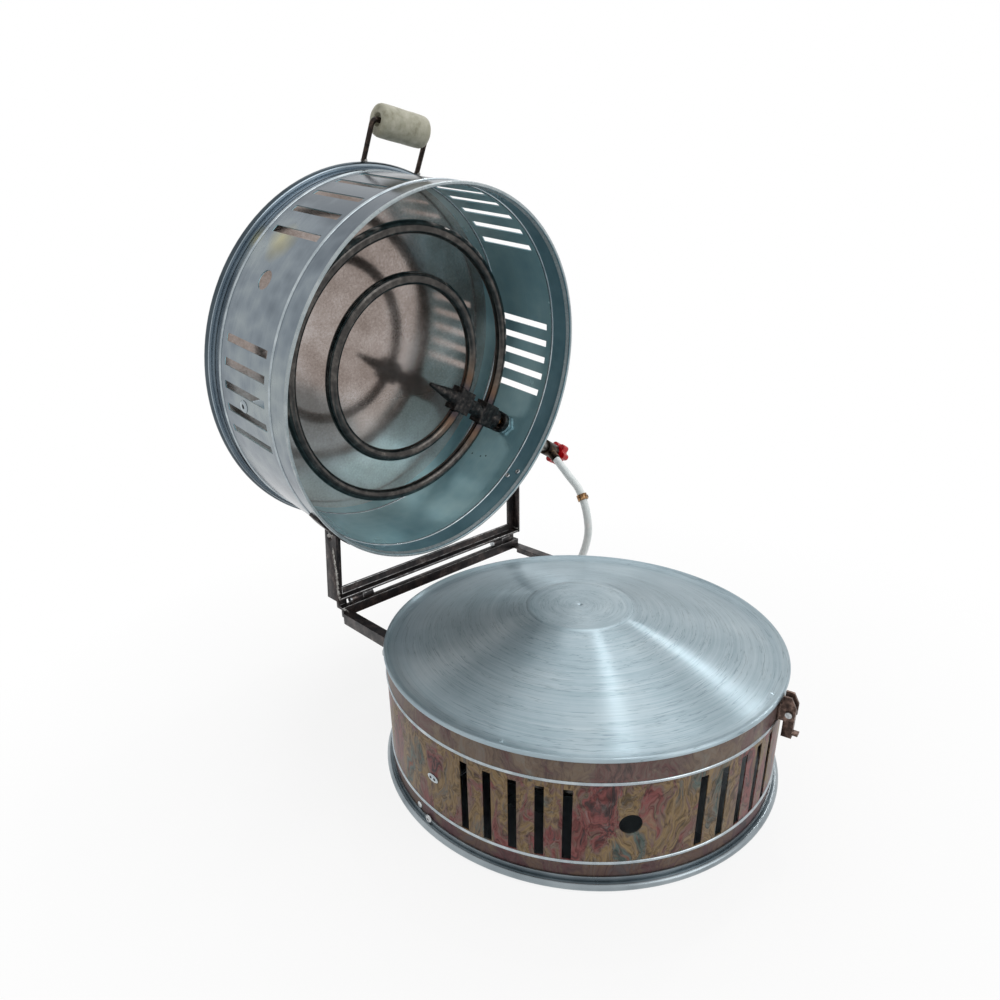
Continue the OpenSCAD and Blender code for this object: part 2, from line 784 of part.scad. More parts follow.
// The right upper arm with its curved foot
module upper_arm(lean) {
    bar_end = upper_half - section_t;
    difference() {
        union() {
            difference() {
                upper_arm_bars(lean);
                translate([0, upper_front - eps, upper_low - through])
                    cube([bar_end, flange_w + 2 * eps, section_t + through]);
                translate([0, upper_front - eps, upper_low - through])
                    cube([2 * bar_end, flange_w + 2 * eps, through]);
                translate([0, upper_front - eps, upper_low])
                    cube([bar_end - web_h, flange_w + 2 * eps, section_t + web_h]);
                on_open_lid() {
                    cylinder(r = foot_mid_r, h = lid_h);
                    for (place = upper_rivet_places)
                        facing(place[0], place[1])
                            bar_x(foot_mid_r, drum_r + flange_w, rivet_head_r + head_clear);
                }
            }
            on_open_lid()
                foot(upper_foot_angle, upper_foot_front, upper_foot_front + upper_foot_len);
        }
        on_open_lid()
            upper_rivet_holes(rivet_shank_r + rivet_slip);
    }
}

// Holes for the rivets of the right upper foot, drawn above the shut lid's mouth
module upper_rivet_holes(radius) {
    for (place = upper_rivet_places)
        wall_hole(place[0], place[1], radius);
}

function unit(v) = v / norm(v);

// A point between the second and the third of four route points
function curve_point(a, b, c, d, t) = 0.5 * (2 * b + (c - a) * t + (2 * a - 5 * b + 4 * c - d) * t * t
    + (3 * b - a - 3 * c + d) * t * t * t);

function route_at(i) = i < 0 ? 2 * hose_route[0] - hose_route[1]
    : i >= len(hose_route) ? 2 * hose_route[len(hose_route) - 1] - hose_route[len(hose_route) - 2]
    : hose_route[i];

hose_line = concat([for (i = [0 : len(hose_route) - 2], step = [0 : hose_steps - 1])
    curve_point(route_at(i - 1), route_at(i), route_at(i + 1), route_at(i + 2), step / hose_steps)],
    [hose_end]);
hose_last = len(hose_line) - 1;

function hose_dir(i) = i == 0 ? hose_start_dir
    : i == hose_last ? [-1, 0, 0]
    : unit(hose_line[i + 1] - hose_line[i - 1]);
function hose_side(i) = unit(cross(hose_dir(i), [0.7, 0, 0.7]));

hose_points = [for (i = [0 : hose_last], k = [0 : hose_sides - 1])
    hose_line[i] + hose_r * (cos(360 * k / hose_sides) * hose_side(i)
    + sin(360 * k / hose_sides) * cross(hose_dir(i), hose_side(i)))];
hose_skin = [for (i = [0 : hose_last - 1], k = [0 : hose_sides - 1])
    let (next = (k + 1) % hose_sides)
    [i * hose_sides + k, (i + 1) * hose_sides + k, (i + 1) * hose_sides + next, i * hose_sides + next]];
hose_caps = [[for (k = [0 : hose_sides - 1]) k],
    [for (k = [hose_sides - 1 : -1 : 0]) hose_last * hose_sides + k]];

// A clamp round the hose, centred on a place and set along a direction
module clamp(place, along) {
    turn = atan2(along[1], along[0]);
    tilt = acos(along[2] / norm(along));
    translate(place)
        rotate([0, tilt, turn])
            difference() {
                union() {
                    translate([0, 0, -clamp_w / 2])
                        cylinder(r = hose_r + clamp_gap + clamp_t, h = clamp_w);
                    translate([0, hose_r + clamp_gap, -clamp_w / 4])
                        cube([clamp_w, clamp_lug, clamp_w / 2]);
                    translate([clamp_w - eps, hose_r + clamp_gap + clamp_lug / 2, 0])
                        rotate([0, 90, 0])
                            cylinder(r = clamp_w / 4, h = clamp_w / 2);
                }
                cylinder(r = hose_r + clamp_gap, h = 2 * clamp_w, center = true);
            }
}

module base_tray() {
    color(galvanised)
        difference() {
            end_pan();
            wall_hole(collar_rivet_place[0], collar_rivet_place[1], rivet_shank_r + rivet_slip);
        }
}

module base_shell() {
    color(printed)
        difference() {
            rotate_extrude() {
                translate([drum_r - sheet, pan_t])
                    square([sheet, base_h - pan_t]);
                translate([drum_r - lip_w, base_h - sheet])
                    square([lip_w, sheet]);
                for (height = [base_bead_low, base_bead_high])
                    translate([drum_r - sheet / 2, height])
                        circle(bead_r);
            }
            slots(base_slot_turns, base_slot_pitches, base_bead_low + base_slot_low,
                base_bead_high - base_slot_high);
            wall_hole(base_sight_angle, base_sight_z, sight_r);
            wall_hole(base_feed_angle, base_feed_z, stem_r + pipe_clear);
            wall_hole(base_bracket_angle, base_feed_z + base_bolt_up, bolt_r + rivet_slip);
            wall_hole(shell_rivet_place[0], shell_rivet_place[1], rivet_shank_r + rivet_slip);
            wall_hole(collar_rivet_place[0], collar_rivet_place[1], rivet_shank_r + rivet_slip);
            lower_rivet_holes(rivet_shank_r + rivet_slip);
            mirror([1, 0, 0])
                lower_rivet_holes(rivet_shank_r + rivet_slip);
            wall_hole(latch_angle, base_h - latch_drop, rivet_shank_r + rivet_slip);
            plate_rivet_holes();
        }
}

// Holes through the plate's flange and the lip below it
module plate_rivet_holes() {
    for (angle = plate_rivet_angles)
        rotate([0, 0, angle])
            translate([plate_rivet_circle, 0, base_h - through])
                cylinder(r = rivet_shank_r + rivet_slip, h = plate_t + 2 * through);
}

function dome(s) = plate_rise * (1 - (1 - dome_bow) * s - dome_bow * s * s);

module baking_plate() {
    steps = 8;
    span = dome_foot_r - flat_r;
    flange_end = plate_r - edge_r - edge_r / 4;
    slope = [for (i = [steps : -1 : 0]) [flat_r + span * i / steps, plate_z + dome(i / steps)]];
    under = [for (i = [0 : steps]) [flat_r + span * i / steps, base_h + dome(i / steps)]];
    color(aluminium)
        difference() {
            rotate_extrude() {
                polygon(concat([[0, base_h + plate_rise]], under,
                    [[flange_end, base_h], [flange_end, plate_z]], slope, [[0, plate_z + plate_rise]]));
                translate([plate_r - edge_r, base_h + edge_lift + edge_r])
                    circle(edge_r);
            }
            translate([0, 0, plate_z + plate_rise - dimple_r / 3])
                cylinder(r1 = 0.2, r2 = dimple_r, h = dimple_r / 3 + eps);
            plate_rivet_holes();
        }
}

module plate_rivets() {
    color(bright_steel)
        for (angle = plate_rivet_angles)
            rotate([0, 0, angle])
                translate([plate_rivet_circle, 0, 0])
                    rotate([0, -90, 0])
                        rivet_x(base_h - sheet, plate_z);
}

module base_rivets() {
    color(bright_steel) {
        facing(shell_rivet_place[0], shell_rivet_place[1])
            rivet_x(drum_r - sheet - rivet_seat, drum_r + rivet_seat);
        facing(collar_rivet_place[0], collar_rivet_place[1])
            rivet_x(drum_r - sheet - rivet_seat, drum_r + collar_gap + pan_t + rivet_seat);
    }
}

module base_outer_burner() {
    color(burner_steel)
        facing(base_feed_angle, base_feed_z)
            ring_tube(outer_ring_r);
}

module base_inner_burner() {
    color(burner_steel)
        facing(base_feed_angle, base_feed_z)
            ring_tube(inner_ring_r);
}

module base_manifold() {
    color(burner_steel)
        facing(base_feed_angle, base_feed_z)
            mixing_tube();
}

module base_jet() {
    color(brass)
        facing(base_feed_angle, base_feed_z)
            jet();
}

module base_stem() {
    color(mill_scale)
        facing(base_feed_angle, base_feed_z)
            feed_pipe(base_valve_dist);
}

module base_stem_nuts() {
    color(bright_steel)
        facing(base_feed_angle, base_feed_z)
            lock_nuts();
}

module base_valve_body() {
    color(brass)
        difference() {
            union() {
                facing(base_feed_angle, base_feed_z)
                    valve_barrel(base_valve_dist);
                translate(base_valve_pos)
                    bar_x(0, tee_reach - tee_r, port_r);
            }
            facing(base_feed_angle, base_feed_z)
                bar_x(base_valve_dist + valve_len / 2 - spindle_in, base_valve_dist + valve_len,
                    spindle_r + spindle_slip);
        }
}

module base_knob() {
    color([0.75, 0.05, 0.08])
        facing(base_feed_angle, base_feed_z)
            lobed_knob(base_valve_dist, base_spindle_out);
}

module gas_tee() {
    color(brass)
        translate(tee_pos) {
            bar_x(-tee_r, tee_r, tee_r);
            rotate([0, 90, 0])
                translate([0, 0, tee_r - eps])
                    nipple();
            rotate([0, 0, base_feed_angle - 90])
                rotate([0, 90, 0]) {
                    cylinder(r = tee_r - tee_step, h = supply_reach - nipple_len + eps);
                    cylinder(r = nipple_r, h = supply_reach);
                }
        }
}

module base_burner_bracket() {
    color(galvanised)
        facing(base_bracket_angle, base_feed_z)
            burner_strap(outer_ring_r - ring_tube_r, base_shelf, base_bolt_up);
}

module base_bracket_bolt() {
    color(bright_steel)
        facing(base_bracket_angle, base_feed_z)
            strap_bolt(base_bolt_up);
}

module lower_bar() {
    color(mill_scale) {
        translate([-lower_half, lower_front, lower_top - section_t])
            cube([2 * lower_half, lower_bar_d, section_t]);
        translate([-lower_half, lower_front, lower_top - lower_bar_h])
            cube([2 * lower_half, section_t, lower_bar_h]);
        for (side = [-1, 1])
            translate([side * (lower_half - stop_w / 2) - stop_w / 2, 0, lower_top - section_t]) {
                translate([0, lower_front, 0])
                    cube([stop_w, stop_y + section_t - lower_front, section_t]);
                translate([0, stop_y, 0])
                    cube([stop_w, section_t, upper_low - stop_gap - lower_top + section_t]);
            }
    }
}

module lower_right_arm() {
    color(mill_scale)
        lower_arm();
}

module lower_left_arm() {
    color(mill_scale)
        mirror([1, 0, 0])
            lower_arm();
}

// Rivets of the right lower foot
module lower_foot_rivets() {
    for (side = [-1, 1])
        facing(lower_foot_angle + side * lower_rivet_swing, lower_foot_mid)
            rivet_x(drum_r - sheet - rivet_seat, drum_r + foot_gap + foot_t + rivet_seat);
}

module lower_frame_rivets() {
    color(bright_steel) {
        lower_foot_rivets();
        mirror([1, 0, 0])
            lower_foot_rivets();
    }
}

module lower_left_barrel() {
    color(mill_scale)
        lower_barrel(-hinge_half - barrel_len - barrel_play / 2);
}

module lower_right_barrel() {
    color(mill_scale)
        lower_barrel(hinge_half - barrel_len - barrel_play / 2);
}

module left_hinge_pin() {
    color(bright_steel)
        hinge_pin(-hinge_half - barrel_len - barrel_play / 2);
}

module right_hinge_pin() {
    color(bright_steel)
        hinge_pin(hinge_half - barrel_len - barrel_play / 2);
}

// Outline of the latch bracket's ears, outwards from the drum's wall and up from the pin
module ear_outline() {
    difference() {
        polygon([[foot_gap + latch_t / 2, -ear_low], [latch_out, -ear_low],
            [latch_out + ear_fore, -ear_low / 2], [latch_out + ear_fore, ear_step],
            [latch_out, ear_high], [rim_clear, ear_high], [rim_clear, ear_step],
            [foot_gap + latch_t / 2, ear_step]]);
        translate([latch_out, 0])
            circle(latch_pin_r + pin_fit);
    }
}

module latch_bracket() {
    ear_mid = lever_w / 2 + lever_gap + latch_t / 2;
    color([0.36, 0.22, 0.15])
        facing(latch_angle, base_h - latch_drop)
            difference() {
                union() {
                    for (side = [-1, 1])
                        translate([drum_r, side * ear_mid + latch_t / 2, 0])
                            rotate([90, 0, 0])
                                linear_extrude(latch_t)
                                    ear_outline();
                    rotate([0, 0, -pi_deg * (ear_mid + latch_t) / drum_r])
                        rotate_extrude(angle = 2 * pi_deg * (ear_mid + latch_t) / drum_r)
                            translate([drum_r + foot_gap, -plate_high])
                                square([latch_t, 2 * plate_high]);
                }
                bar_x(drum_r - through, drum_r + latch_t + through, rivet_shank_r + rivet_slip);
            }
}

module latch_pin() {
    ear_out = lever_w / 2 + lever_gap + latch_t;
    pin_end = ear_out + rivet_seat + latch_head_t;
    color(bright_steel)
        facing(latch_angle, base_h - latch_drop) {
            translate([drum_r + latch_out, pin_end, 0])
                rotate([90, 0, 0])
                    cylinder(r = latch_pin_r, h = 2 * pin_end);
            for (from = [-ear_out - rivet_seat, pin_end])
                translate([drum_r + latch_out, from, 0])
                    rotate([90, 0, 0])
                        cylinder(r = latch_pin_r + latch_head_rise, h = latch_head_t);
            rivet_x(drum_r - sheet - rivet_seat, drum_r + foot_gap + latch_t + rivet_seat);
        }
}

module latch_lever() {
    color([0.42, 0.27, 0.18])
        facing(latch_angle, base_h - latch_drop)
            translate([drum_r + latch_out, lever_w / 2, 0])
                rotate([90, 0, 0])
                    linear_extrude(lever_w)
                        difference() {
                            union() {
                                circle(eye_r);
                                translate([-lever_d / 2, -lever_len])
                                    square([lever_d, lever_len]);
                                translate([0, -catch_at - latch_t])
                                    square([catch_reach, latch_t]);
                            }
                            circle(latch_pin_r + latch_slip);
                        }
}

module lid_shell() {
    color(galvanised)
        on_open_lid()
            difference() {
                rotate_extrude() {
                    translate([drum_r - sheet, 0])
                        square([sheet, lid_h - pan_t]);
                    for (depth = [bead_r, lid_bead_front, lid_bead_rear])
                        translate([drum_r - sheet / 2, depth])
                            circle(bead_r);
                }
                slots(lid_slot_turns, lid_slot_pitches, lid_bead_front + lid_slot_margin,
                    lid_bead_rear - lid_slot_margin);
                wall_hole(lid_sight_angle, lid_sight_depth, sight_r);
                wall_hole(lid_feed_angle, lid_feed_depth, stem_r + pipe_clear);
                wall_hole(lid_bracket_angle, lid_feed_depth + lid_bolt_up, bolt_r + rivet_slip);
                for (place = drill_places)
                    wall_hole(place[0], place[1], drill_r);
                upper_rivet_holes(rivet_shank_r + rivet_slip);
                mirror([1, 0, 0])
                    upper_rivet_holes(rivet_shank_r + rivet_slip);
            }
}

module lid_back() {
    color(galvanised)
        on_open_lid()
            translate([0, 0, lid_h])
                mirror([0, 0, 1])
                    end_pan();
}

// Puts a piece of the lid's burner on the feed pipe's line
module on_lid_feed() {
    on_open_lid()
        facing(lid_feed_angle, lid_feed_depth)
            children();
}

module lid_outer_burner() {
    color(burner_steel)
        on_lid_feed()
            ring_tube(outer_ring_r);
}

module lid_inner_burner() {
    color(burner_steel)
        on_lid_feed()
            ring_tube(inner_ring_r);
}

module lid_manifold() {
    color(burner_steel)
        on_lid_feed()
            mixing_tube();
}

module lid_jet() {
    color(brass)
        on_lid_feed()
            jet();
}

module lid_stem() {
    color(mill_scale)
        on_lid_feed()
            feed_pipe(lid_valve_dist);
}

module lid_stem_nuts() {
    color(bright_steel)
        on_lid_feed()
            lock_nuts();
}

module lid_valve_body() {
    color(brass)
        on_lid_feed()
            difference() {
                union() {
                    valve_barrel(lid_valve_dist);
                    translate([lid_valve_dist, 0, 0])
                        rotate([180 + lid_port_turn, 0, 0]) {
                            cylinder(r = port_r, h = lid_port_reach + eps);
                            translate([0, 0, lid_port_reach])
                                nipple();
                        }
                }
                bar_x(lid_valve_dist + valve_len / 2 - spindle_in, lid_valve_dist + valve_len,
                    spindle_r + spindle_slip);
            }
}

module lid_knob() {
    color([0.75, 0.05, 0.08])
        on_lid_feed()
            lobed_knob(lid_valve_dist, lid_spindle_out);
}

module lid_burner_bracket() {
    color(galvanised)
        on_open_lid()
            facing(lid_bracket_angle, lid_feed_depth)
                burner_strap(outer_ring_r + ring_tube_r + rivet_seat, lid_shelf, lid_bolt_up);
}

module lid_bracket_bolt() {
    color(bright_steel)
        on_open_lid()
            facing(lid_bracket_angle, lid_feed_depth)
                strap_bolt(lid_bolt_up);
}

module upper_bar() {
    inner = upper_half - section_t;
    color(mill_scale) {
        translate([-inner, upper_front, upper_low])
            cube([2 * inner, flange_w, section_t]);
        translate([web_h - inner, web_mid - section_t / 2, upper_low])
            cube([2 * (inner - web_h), section_t, section_t + web_h]);
    }
}

module upper_right_arm() {
    color(mill_scale)
        upper_arm(right_arm_lean);
}

module upper_left_arm() {
    color(mill_scale)
        mirror([1, 0, 0])
            upper_arm(left_arm_lean);
}

// Rivets of the right upper foot, drawn above the shut lid's mouth
module upper_foot_rivets() {
    for (place = upper_rivet_places)
        facing(place[0], place[1])
            rivet_x(drum_r - sheet - rivet_seat, drum_r + foot_gap + foot_t + rivet_seat);
}

module upper_frame_rivets() {
    color(bright_steel)
        on_open_lid() {
            upper_foot_rivets();
            mirror([1, 0, 0])
                upper_foot_rivets();
        }
}

module upper_left_barrel() {
    color(mill_scale)
        upper_barrel(-hinge_half + barrel_play / 2);
}

module upper_right_barrel() {
    color(mill_scale)
        upper_barrel(hinge_half + barrel_play / 2);
}

// Puts a piece of the handle, drawn upwards from the back plate's rim, on the shut lid
module on_handle() {
    on_open_lid()
        rotate([0, 0, handle_angle + 90])
            translate([0, -rim_r, lid_h - roll_r])
                rotate([90, 0, 0])
                    rotate([handle_lean, 0, 0])
                        children();
}

module handle_wire() {
    sink = rim_r - sqrt(rim_r * rim_r - leg_half * leg_half) + roll_r / 2;
    color(bright_steel)
        difference() {
            on_handle() {
                for (side = [-1, 1]) {
                    translate([side * leg_half, 0, -sink])
                        cylinder(r = wire_r, h = sink + grip_up);
                    translate([side * leg_half, 0, grip_up])
                        sphere(wire_r);
                }
                translate([0, 0, grip_up])
                    bar_x(-leg_half, leg_half, wire_r);
            }
            on_open_lid()
                rotate_extrude()
                    translate([rim_r - roll_r, lid_h - roll_r])
                        circle(roll_r + foot_gap);
        }
}

module handle_grip() {
    color([0.9, 0.86, 0.76])
        on_handle()
            translate([0, 0, grip_up])
                difference() {
                    bar_x(-grip_len / 2, grip_len / 2, grip_r);
                    bar_x(-grip_len, grip_len, wire_r + grip_slip);
                    for (side = [-1, 1])
                        translate([side * (grip_len / 2), 0, 0])
                            bar_x(-recess_d, recess_d, recess_r);
                }
}

module gas_hose() {
    color([0.93, 0.93, 0.9])
        polyhedron(hose_points, concat(hose_caps, hose_skin));
}

module upper_hose_clamp() {
    color(brass)
        clamp(hose_line[upper_clamp_step], hose_dir(upper_clamp_step));
}

module lower_hose_clamp() {
    color(brass)
        clamp(hose_line[hose_last - 1], hose_dir(hose_last - 1));
}

base_tray();
base_shell();
baking_plate();
plate_rivets();
base_rivets();
base_outer_burner();
base_inner_burner();
base_manifold();
base_jet();
base_stem();
base_stem_nuts();
base_valve_body();
base_knob();
gas_tee();
base_burner_bracket();
base_bracket_bolt();
lower_bar();
lower_left_arm();
lower_right_arm();
lower_frame_rivets();
lower_left_barrel();
lower_right_barrel();
left_hinge_pin();
right_hinge_pin();
latch_bracket();
latch_pin();
latch_lever();
lid_shell();
lid_back();
lid_outer_burner();
lid_inner_burner();
lid_manifold();
lid_jet();
lid_stem();
lid_stem_nuts();
lid_valve_body();
lid_knob();
lid_burner_bracket();
lid_bracket_bolt();
upper_bar();
upper_left_arm();
upper_right_arm();
upper_frame_rivets();
upper_left_barrel();
upper_right_barrel();
handle_wire();
handle_grip();
gas_hose();
upper_hose_clamp();
lower_hose_clamp();
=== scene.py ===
import math
import bpy
from mathutils import Matrix, Vector


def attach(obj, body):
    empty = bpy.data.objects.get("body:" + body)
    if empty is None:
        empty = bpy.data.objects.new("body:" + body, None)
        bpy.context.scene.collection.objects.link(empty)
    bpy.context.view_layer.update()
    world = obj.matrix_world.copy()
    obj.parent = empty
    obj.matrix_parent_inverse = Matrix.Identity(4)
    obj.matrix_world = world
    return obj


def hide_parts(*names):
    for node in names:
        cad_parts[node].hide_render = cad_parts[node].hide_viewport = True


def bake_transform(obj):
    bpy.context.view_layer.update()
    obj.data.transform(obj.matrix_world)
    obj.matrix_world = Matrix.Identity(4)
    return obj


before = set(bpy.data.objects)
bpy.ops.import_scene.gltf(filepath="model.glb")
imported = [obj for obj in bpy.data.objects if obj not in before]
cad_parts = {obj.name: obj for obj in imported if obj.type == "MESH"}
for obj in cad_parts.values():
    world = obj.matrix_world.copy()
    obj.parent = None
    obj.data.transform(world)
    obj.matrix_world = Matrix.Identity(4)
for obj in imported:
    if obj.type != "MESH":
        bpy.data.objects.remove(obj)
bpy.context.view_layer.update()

mm = 0.001


def shifted(x, y, z):
    return Matrix.Translation((x * mm, y * mm, z * mm))


def rotated(angle, axis):
    return Matrix.Rotation(math.radians(angle), 4, axis)


# points on a round stretch of an outline
def arc(across, up, radius, angles):
    return [(across + radius * math.cos(math.radians(a)), up + radius * math.sin(math.radians(a)))
            for a in angles]


# radii of the drums' sheet, how the shut lid gets to its open place, and the lines of the two feed pipes
drum = {"outside": 203, "middle": 202.5}
hinge = {"y": 230.5, "z": 142.4, "rise": 4.4, "open": 81}
feed = {"lidAngle": 29.3, "lidDepth": 77, "baseAngle": 52, "baseHeight": 64.6}
unturned = Matrix.Identity(4)
lidPlace = (shifted(0, hinge["y"], hinge["z"]) @ rotated(-hinge["open"], "X")
            @ shifted(0, -hinge["y"], -hinge["rise"]))
lidFeed = lidPlace @ rotated(feed["lidAngle"], "Z") @ shifted(0, 0, feed["lidDepth"])
baseFeed = rotated(feed["baseAngle"], "Z") @ shifted(0, 0, feed["baseHeight"])


# a place on a drum's wall, with Z pointing out of the wall or into the drum
def onWall(angle, height, distance, inward=False):
    return rotated(angle, "Z") @ shifted(distance, 0, height) @ rotated(-90 if inward else 90, "Y")


# small helpers used by every piece
def clearSelection():
    if bpy.context.object and bpy.context.object.mode != "OBJECT":
        bpy.ops.object.mode_set(mode="OBJECT")
    bpy.ops.object.select_all(action="DESELECT")


def pick(obj):
    clearSelection()
    obj.select_set(True)
    bpy.context.view_layer.objects.active = obj
    return obj


def smooth(obj, angle):
    pick(obj)
    bpy.ops.object.shade_smooth_by_angle(angle=math.radians(angle))
    return obj


# moves a finished mesh to its place and leaves the object at the origin
def settle(obj, matrix=None):
    pick(obj)
    if matrix is not None:
        obj.matrix_world = matrix
    bpy.ops.object.transform_apply(location=True, rotation=True, scale=True)
    return obj


def tidyMesh(obj):
    pick(obj)
    bpy.ops.object.mode_set(mode="EDIT")
    bpy.ops.mesh.select_all(action="SELECT")
    bpy.ops.mesh.remove_doubles(threshold=0.001 * mm)
    bpy.ops.mesh.normals_make_consistent(inside=False)
    bpy.ops.object.mode_set(mode="OBJECT")
    return obj


# draws an outline of (radius, height) points in mm and spins it round Z
def turned(name, outline, steps, angle=35):
    clearSelection()
    bpy.ops.mesh.primitive_plane_add(size=0.01)
    obj = bpy.context.object
    obj.name = name
    bpy.ops.object.mode_set(mode="EDIT")
    bpy.ops.mesh.select_all(action="SELECT")
    bpy.ops.mesh.merge(type="CENTER")
    bpy.ops.transform.translate(value=(outline[0][0] * mm, 0, outline[0][1] * mm))
    for (r0, z0), (r1, z1) in zip(outline, outline[1:]):
        bpy.ops.mesh.extrude_vertices_move(
            TRANSFORM_OT_translate={"value": ((r1 - r0) * mm, 0, (z1 - z0) * mm)})
    bpy.ops.mesh.select_all(action="SELECT")
    bpy.ops.mesh.spin(steps=steps, angle=math.radians(360), center=(0, 0, 0), axis=(0, 0, 1))
    bpy.ops.object.mode_set(mode="OBJECT")
    return smooth(tidyMesh(obj), angle)


# a round bar or tube along a line of points
def rod(name, line, radius):
    clearSelection()
    bpy.ops.curve.primitive_nurbs_path_add()
    obj = bpy.context.object
    obj.name = name
    obj.data.splines.clear()
    spline = obj.data.splines.new("POLY")
    spline.points.add(len(line) - 1)
    for point, place in zip(spline.points, line):
        point.co = (*place, 1)
    obj.data.dimensions = "3D"
    obj.data.bevel_depth = radius * mm
    obj.data.bevel_resolution = 6
    obj.data.use_fill_caps = True
    bpy.ops.object.convert(target="MESH")
    return smooth(tidyMesh(obj), 50)


def joined(name, parts):
    clearSelection()
    for part in parts:
        part.select_set(True)
    bpy.context.view_layer.objects.active = parts[0]
    bpy.ops.object.join()
    parts[0].name = name
    return parts[0]


def copyOf(obj, name):
    twin = bpy.data.objects.new(name, obj.data.copy())
    bpy.context.scene.collection.objects.link(twin)
    return twin


def useModifier(obj, kind, **settings):
    pick(obj)
    mod = obj.modifiers.new(kind.title(), kind)
    for key, value in settings.items():
        setattr(mod, key, value)
    bpy.ops.object.modifier_apply(modifier=mod.name)
    return obj


# one skin over overlapping bodies, softened
def melted(obj, grain, rounds):
    useModifier(obj, "REMESH", mode="VOXEL", voxel_size=grain * mm)
    return useModifier(obj, "SMOOTH", factor=0.5, iterations=rounds)


def wear(obj, *materials):
    obj.data.materials.clear()
    for material in materials:
        obj.data.materials.append(material)
    return obj


def finish(piece, body, slot, *nodes):
    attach(piece, body)
    if nodes:
        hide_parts(*nodes)
    return piece


# a copy of a plain solid with its edges eased, in the last of its materials where they are rubbed, which on
# some pieces is also lightened as a painted highlight
def eased(node, name, width, materials):
    obj = copyOf(bpy.data.objects[node], name)
    pick(obj)
    bpy.ops.object.mode_set(mode="EDIT")
    bpy.ops.mesh.select_all(action="SELECT")
    bpy.ops.mesh.remove_doubles(threshold=0.002 * mm)
    bpy.ops.mesh.dissolve_limited(angle_limit=math.radians(1.5))
    bpy.ops.object.mode_set(mode="OBJECT")
    wear(obj, *materials)
    useModifier(obj, "BEVEL", width=width * mm, segments=2, limit_method="ANGLE",
                angle_limit=math.radians(40), material=len(materials) - 1)
    return smooth(obj, 40)


# colours of the materials, from hex codes
def ink(code):
    parts = [int(code[i:i + 2], 16) / 255 for i in (1, 3, 5)]
    return [c / 12.92 if c <= 0.04045 else ((c + 0.055) / 1.055) ** 2.4 for c in parts] + [1.0]


# adds one node, sets it up and joins its inputs
def put(tree, kind, setup=None, values=None, links=None):
    node = tree.nodes.new(kind)
    for key, value in (setup or {}).items():
        setattr(node, key, value)
    for key, value in (values or {}).items():
        node.inputs[key].default_value = value
    for key, socket in (links or {}).items():
        tree.links.new(socket, node.inputs[key])
    return node.outputs[0]


# gives an input a plain number or a link
def supply(tree, socket, value):
    if isinstance(value, (int, float)):
        socket.default_value = value
    else:
        tree.links.new(value, socket)


def newMaterial(name, **values):
    material = bpy.data.materials.new(name)
    material.use_nodes = True
    tree = material.node_tree
    shader = tree.nodes["Principled BSDF"]
    for key, value in values.items():
        shader.inputs[key.replace("_", " ")].default_value = value
    return material, tree, shader


def ramp(tree, socket, stops):
    colour = put(tree, "ShaderNodeValToRGB", None, None, {"Fac": socket})
    elements = colour.node.color_ramp.elements
    while len(elements) < len(stops):
        elements.new(0.5)
    for element, (place, code) in zip(elements, stops):
        element.position = place
        element.color = ink(code)
    return colour


def noise(tree, vector, size, detail=4.0, **values):
    return put(tree, "ShaderNodeTexNoise", None, {"Scale": 1 / (size * mm), "Detail": detail, **values},
               {"Vector": vector})


def cells(tree, vector, size):
    return put(tree, "ShaderNodeTexVoronoi", None, {"Scale": 1 / (size * mm)}, {"Vector": vector})


def maths(tree, operation, first, second=0.0):
    node = put(tree, "ShaderNodeMath", {"operation": operation}).node
    supply(tree, node.inputs[0], first)
    supply(tree, node.inputs[1], second)
    return node.outputs[0]


# sum of values, each with its weight
def weighted(tree, *pairs):
    total = 0.0
    for socket, weight in pairs:
        total = maths(tree, "ADD", total, maths(tree, "MULTIPLY", socket, weight))
    return total


# spreads a value from one range to another, clamped
def spread(tree, socket, low, high, start, end):
    return put(tree, "ShaderNodeMapRange", None,
               {"From Min": low, "From Max": high, "To Min": start, "To Max": end}, {"Value": socket})


def mixed(tree, factor, first, second, blend="MIX"):
    node = put(tree, "ShaderNodeMix", {"data_type": "RGBA", "blend_type": blend}, None,
               {6: first, 7: second}).node
    supply(tree, node.inputs[0], factor)
    return node.outputs[2]


def bumpy(tree, shader, socket, strength, depth):
    normal = put(tree, "ShaderNodeBump", None, {"Strength": strength, "Distance": depth * mm},
                 {"Height": socket})
    tree.links.new(normal, shader.inputs["Normal"])


def objectCoords(tree):
    return put(tree, "ShaderNodeTexCoord").node.outputs["Object"]


# coordinates in the frame that a piece was drawn in, such as the shut lid's
def coordsIn(tree, place):
    back = place.inverted()
    return put(tree, "ShaderNodeMapping", None, {"Location": back.translation, "Rotation": back.to_euler()},
               {"Vector": objectCoords(tree)})


def partsOf(tree, vector):
    return put(tree, "ShaderNodeSeparateXYZ", None, None, {0: vector}).node.outputs


def vectors(tree, operation, values, links):
    return put(tree, "ShaderNodeVectorMath", {"operation": operation}, values, links)


# the way out from the Z axis to a point
def outTo(tree, coords):
    return vectors(tree, "MULTIPLY", {1: (1, 1, 0)}, {0: coords})


def radiusOf(tree, coords):
    return vectors(tree, "LENGTH", None, {0: outTo(tree, coords)}).node.outputs["Value"]


# zinc coated sheet: soft grey crystals, faint rolling lines, straw coloured stains and a cloudy shine,
# darker outside towards the handle and the hinge as painted shade
zincSheet = {"crystal": 16, "cloud": 80, "line": 1.6, "stops": (0.42, 0.64, 0.86),
             "straw": ("#8f8552", "#c4b878")}


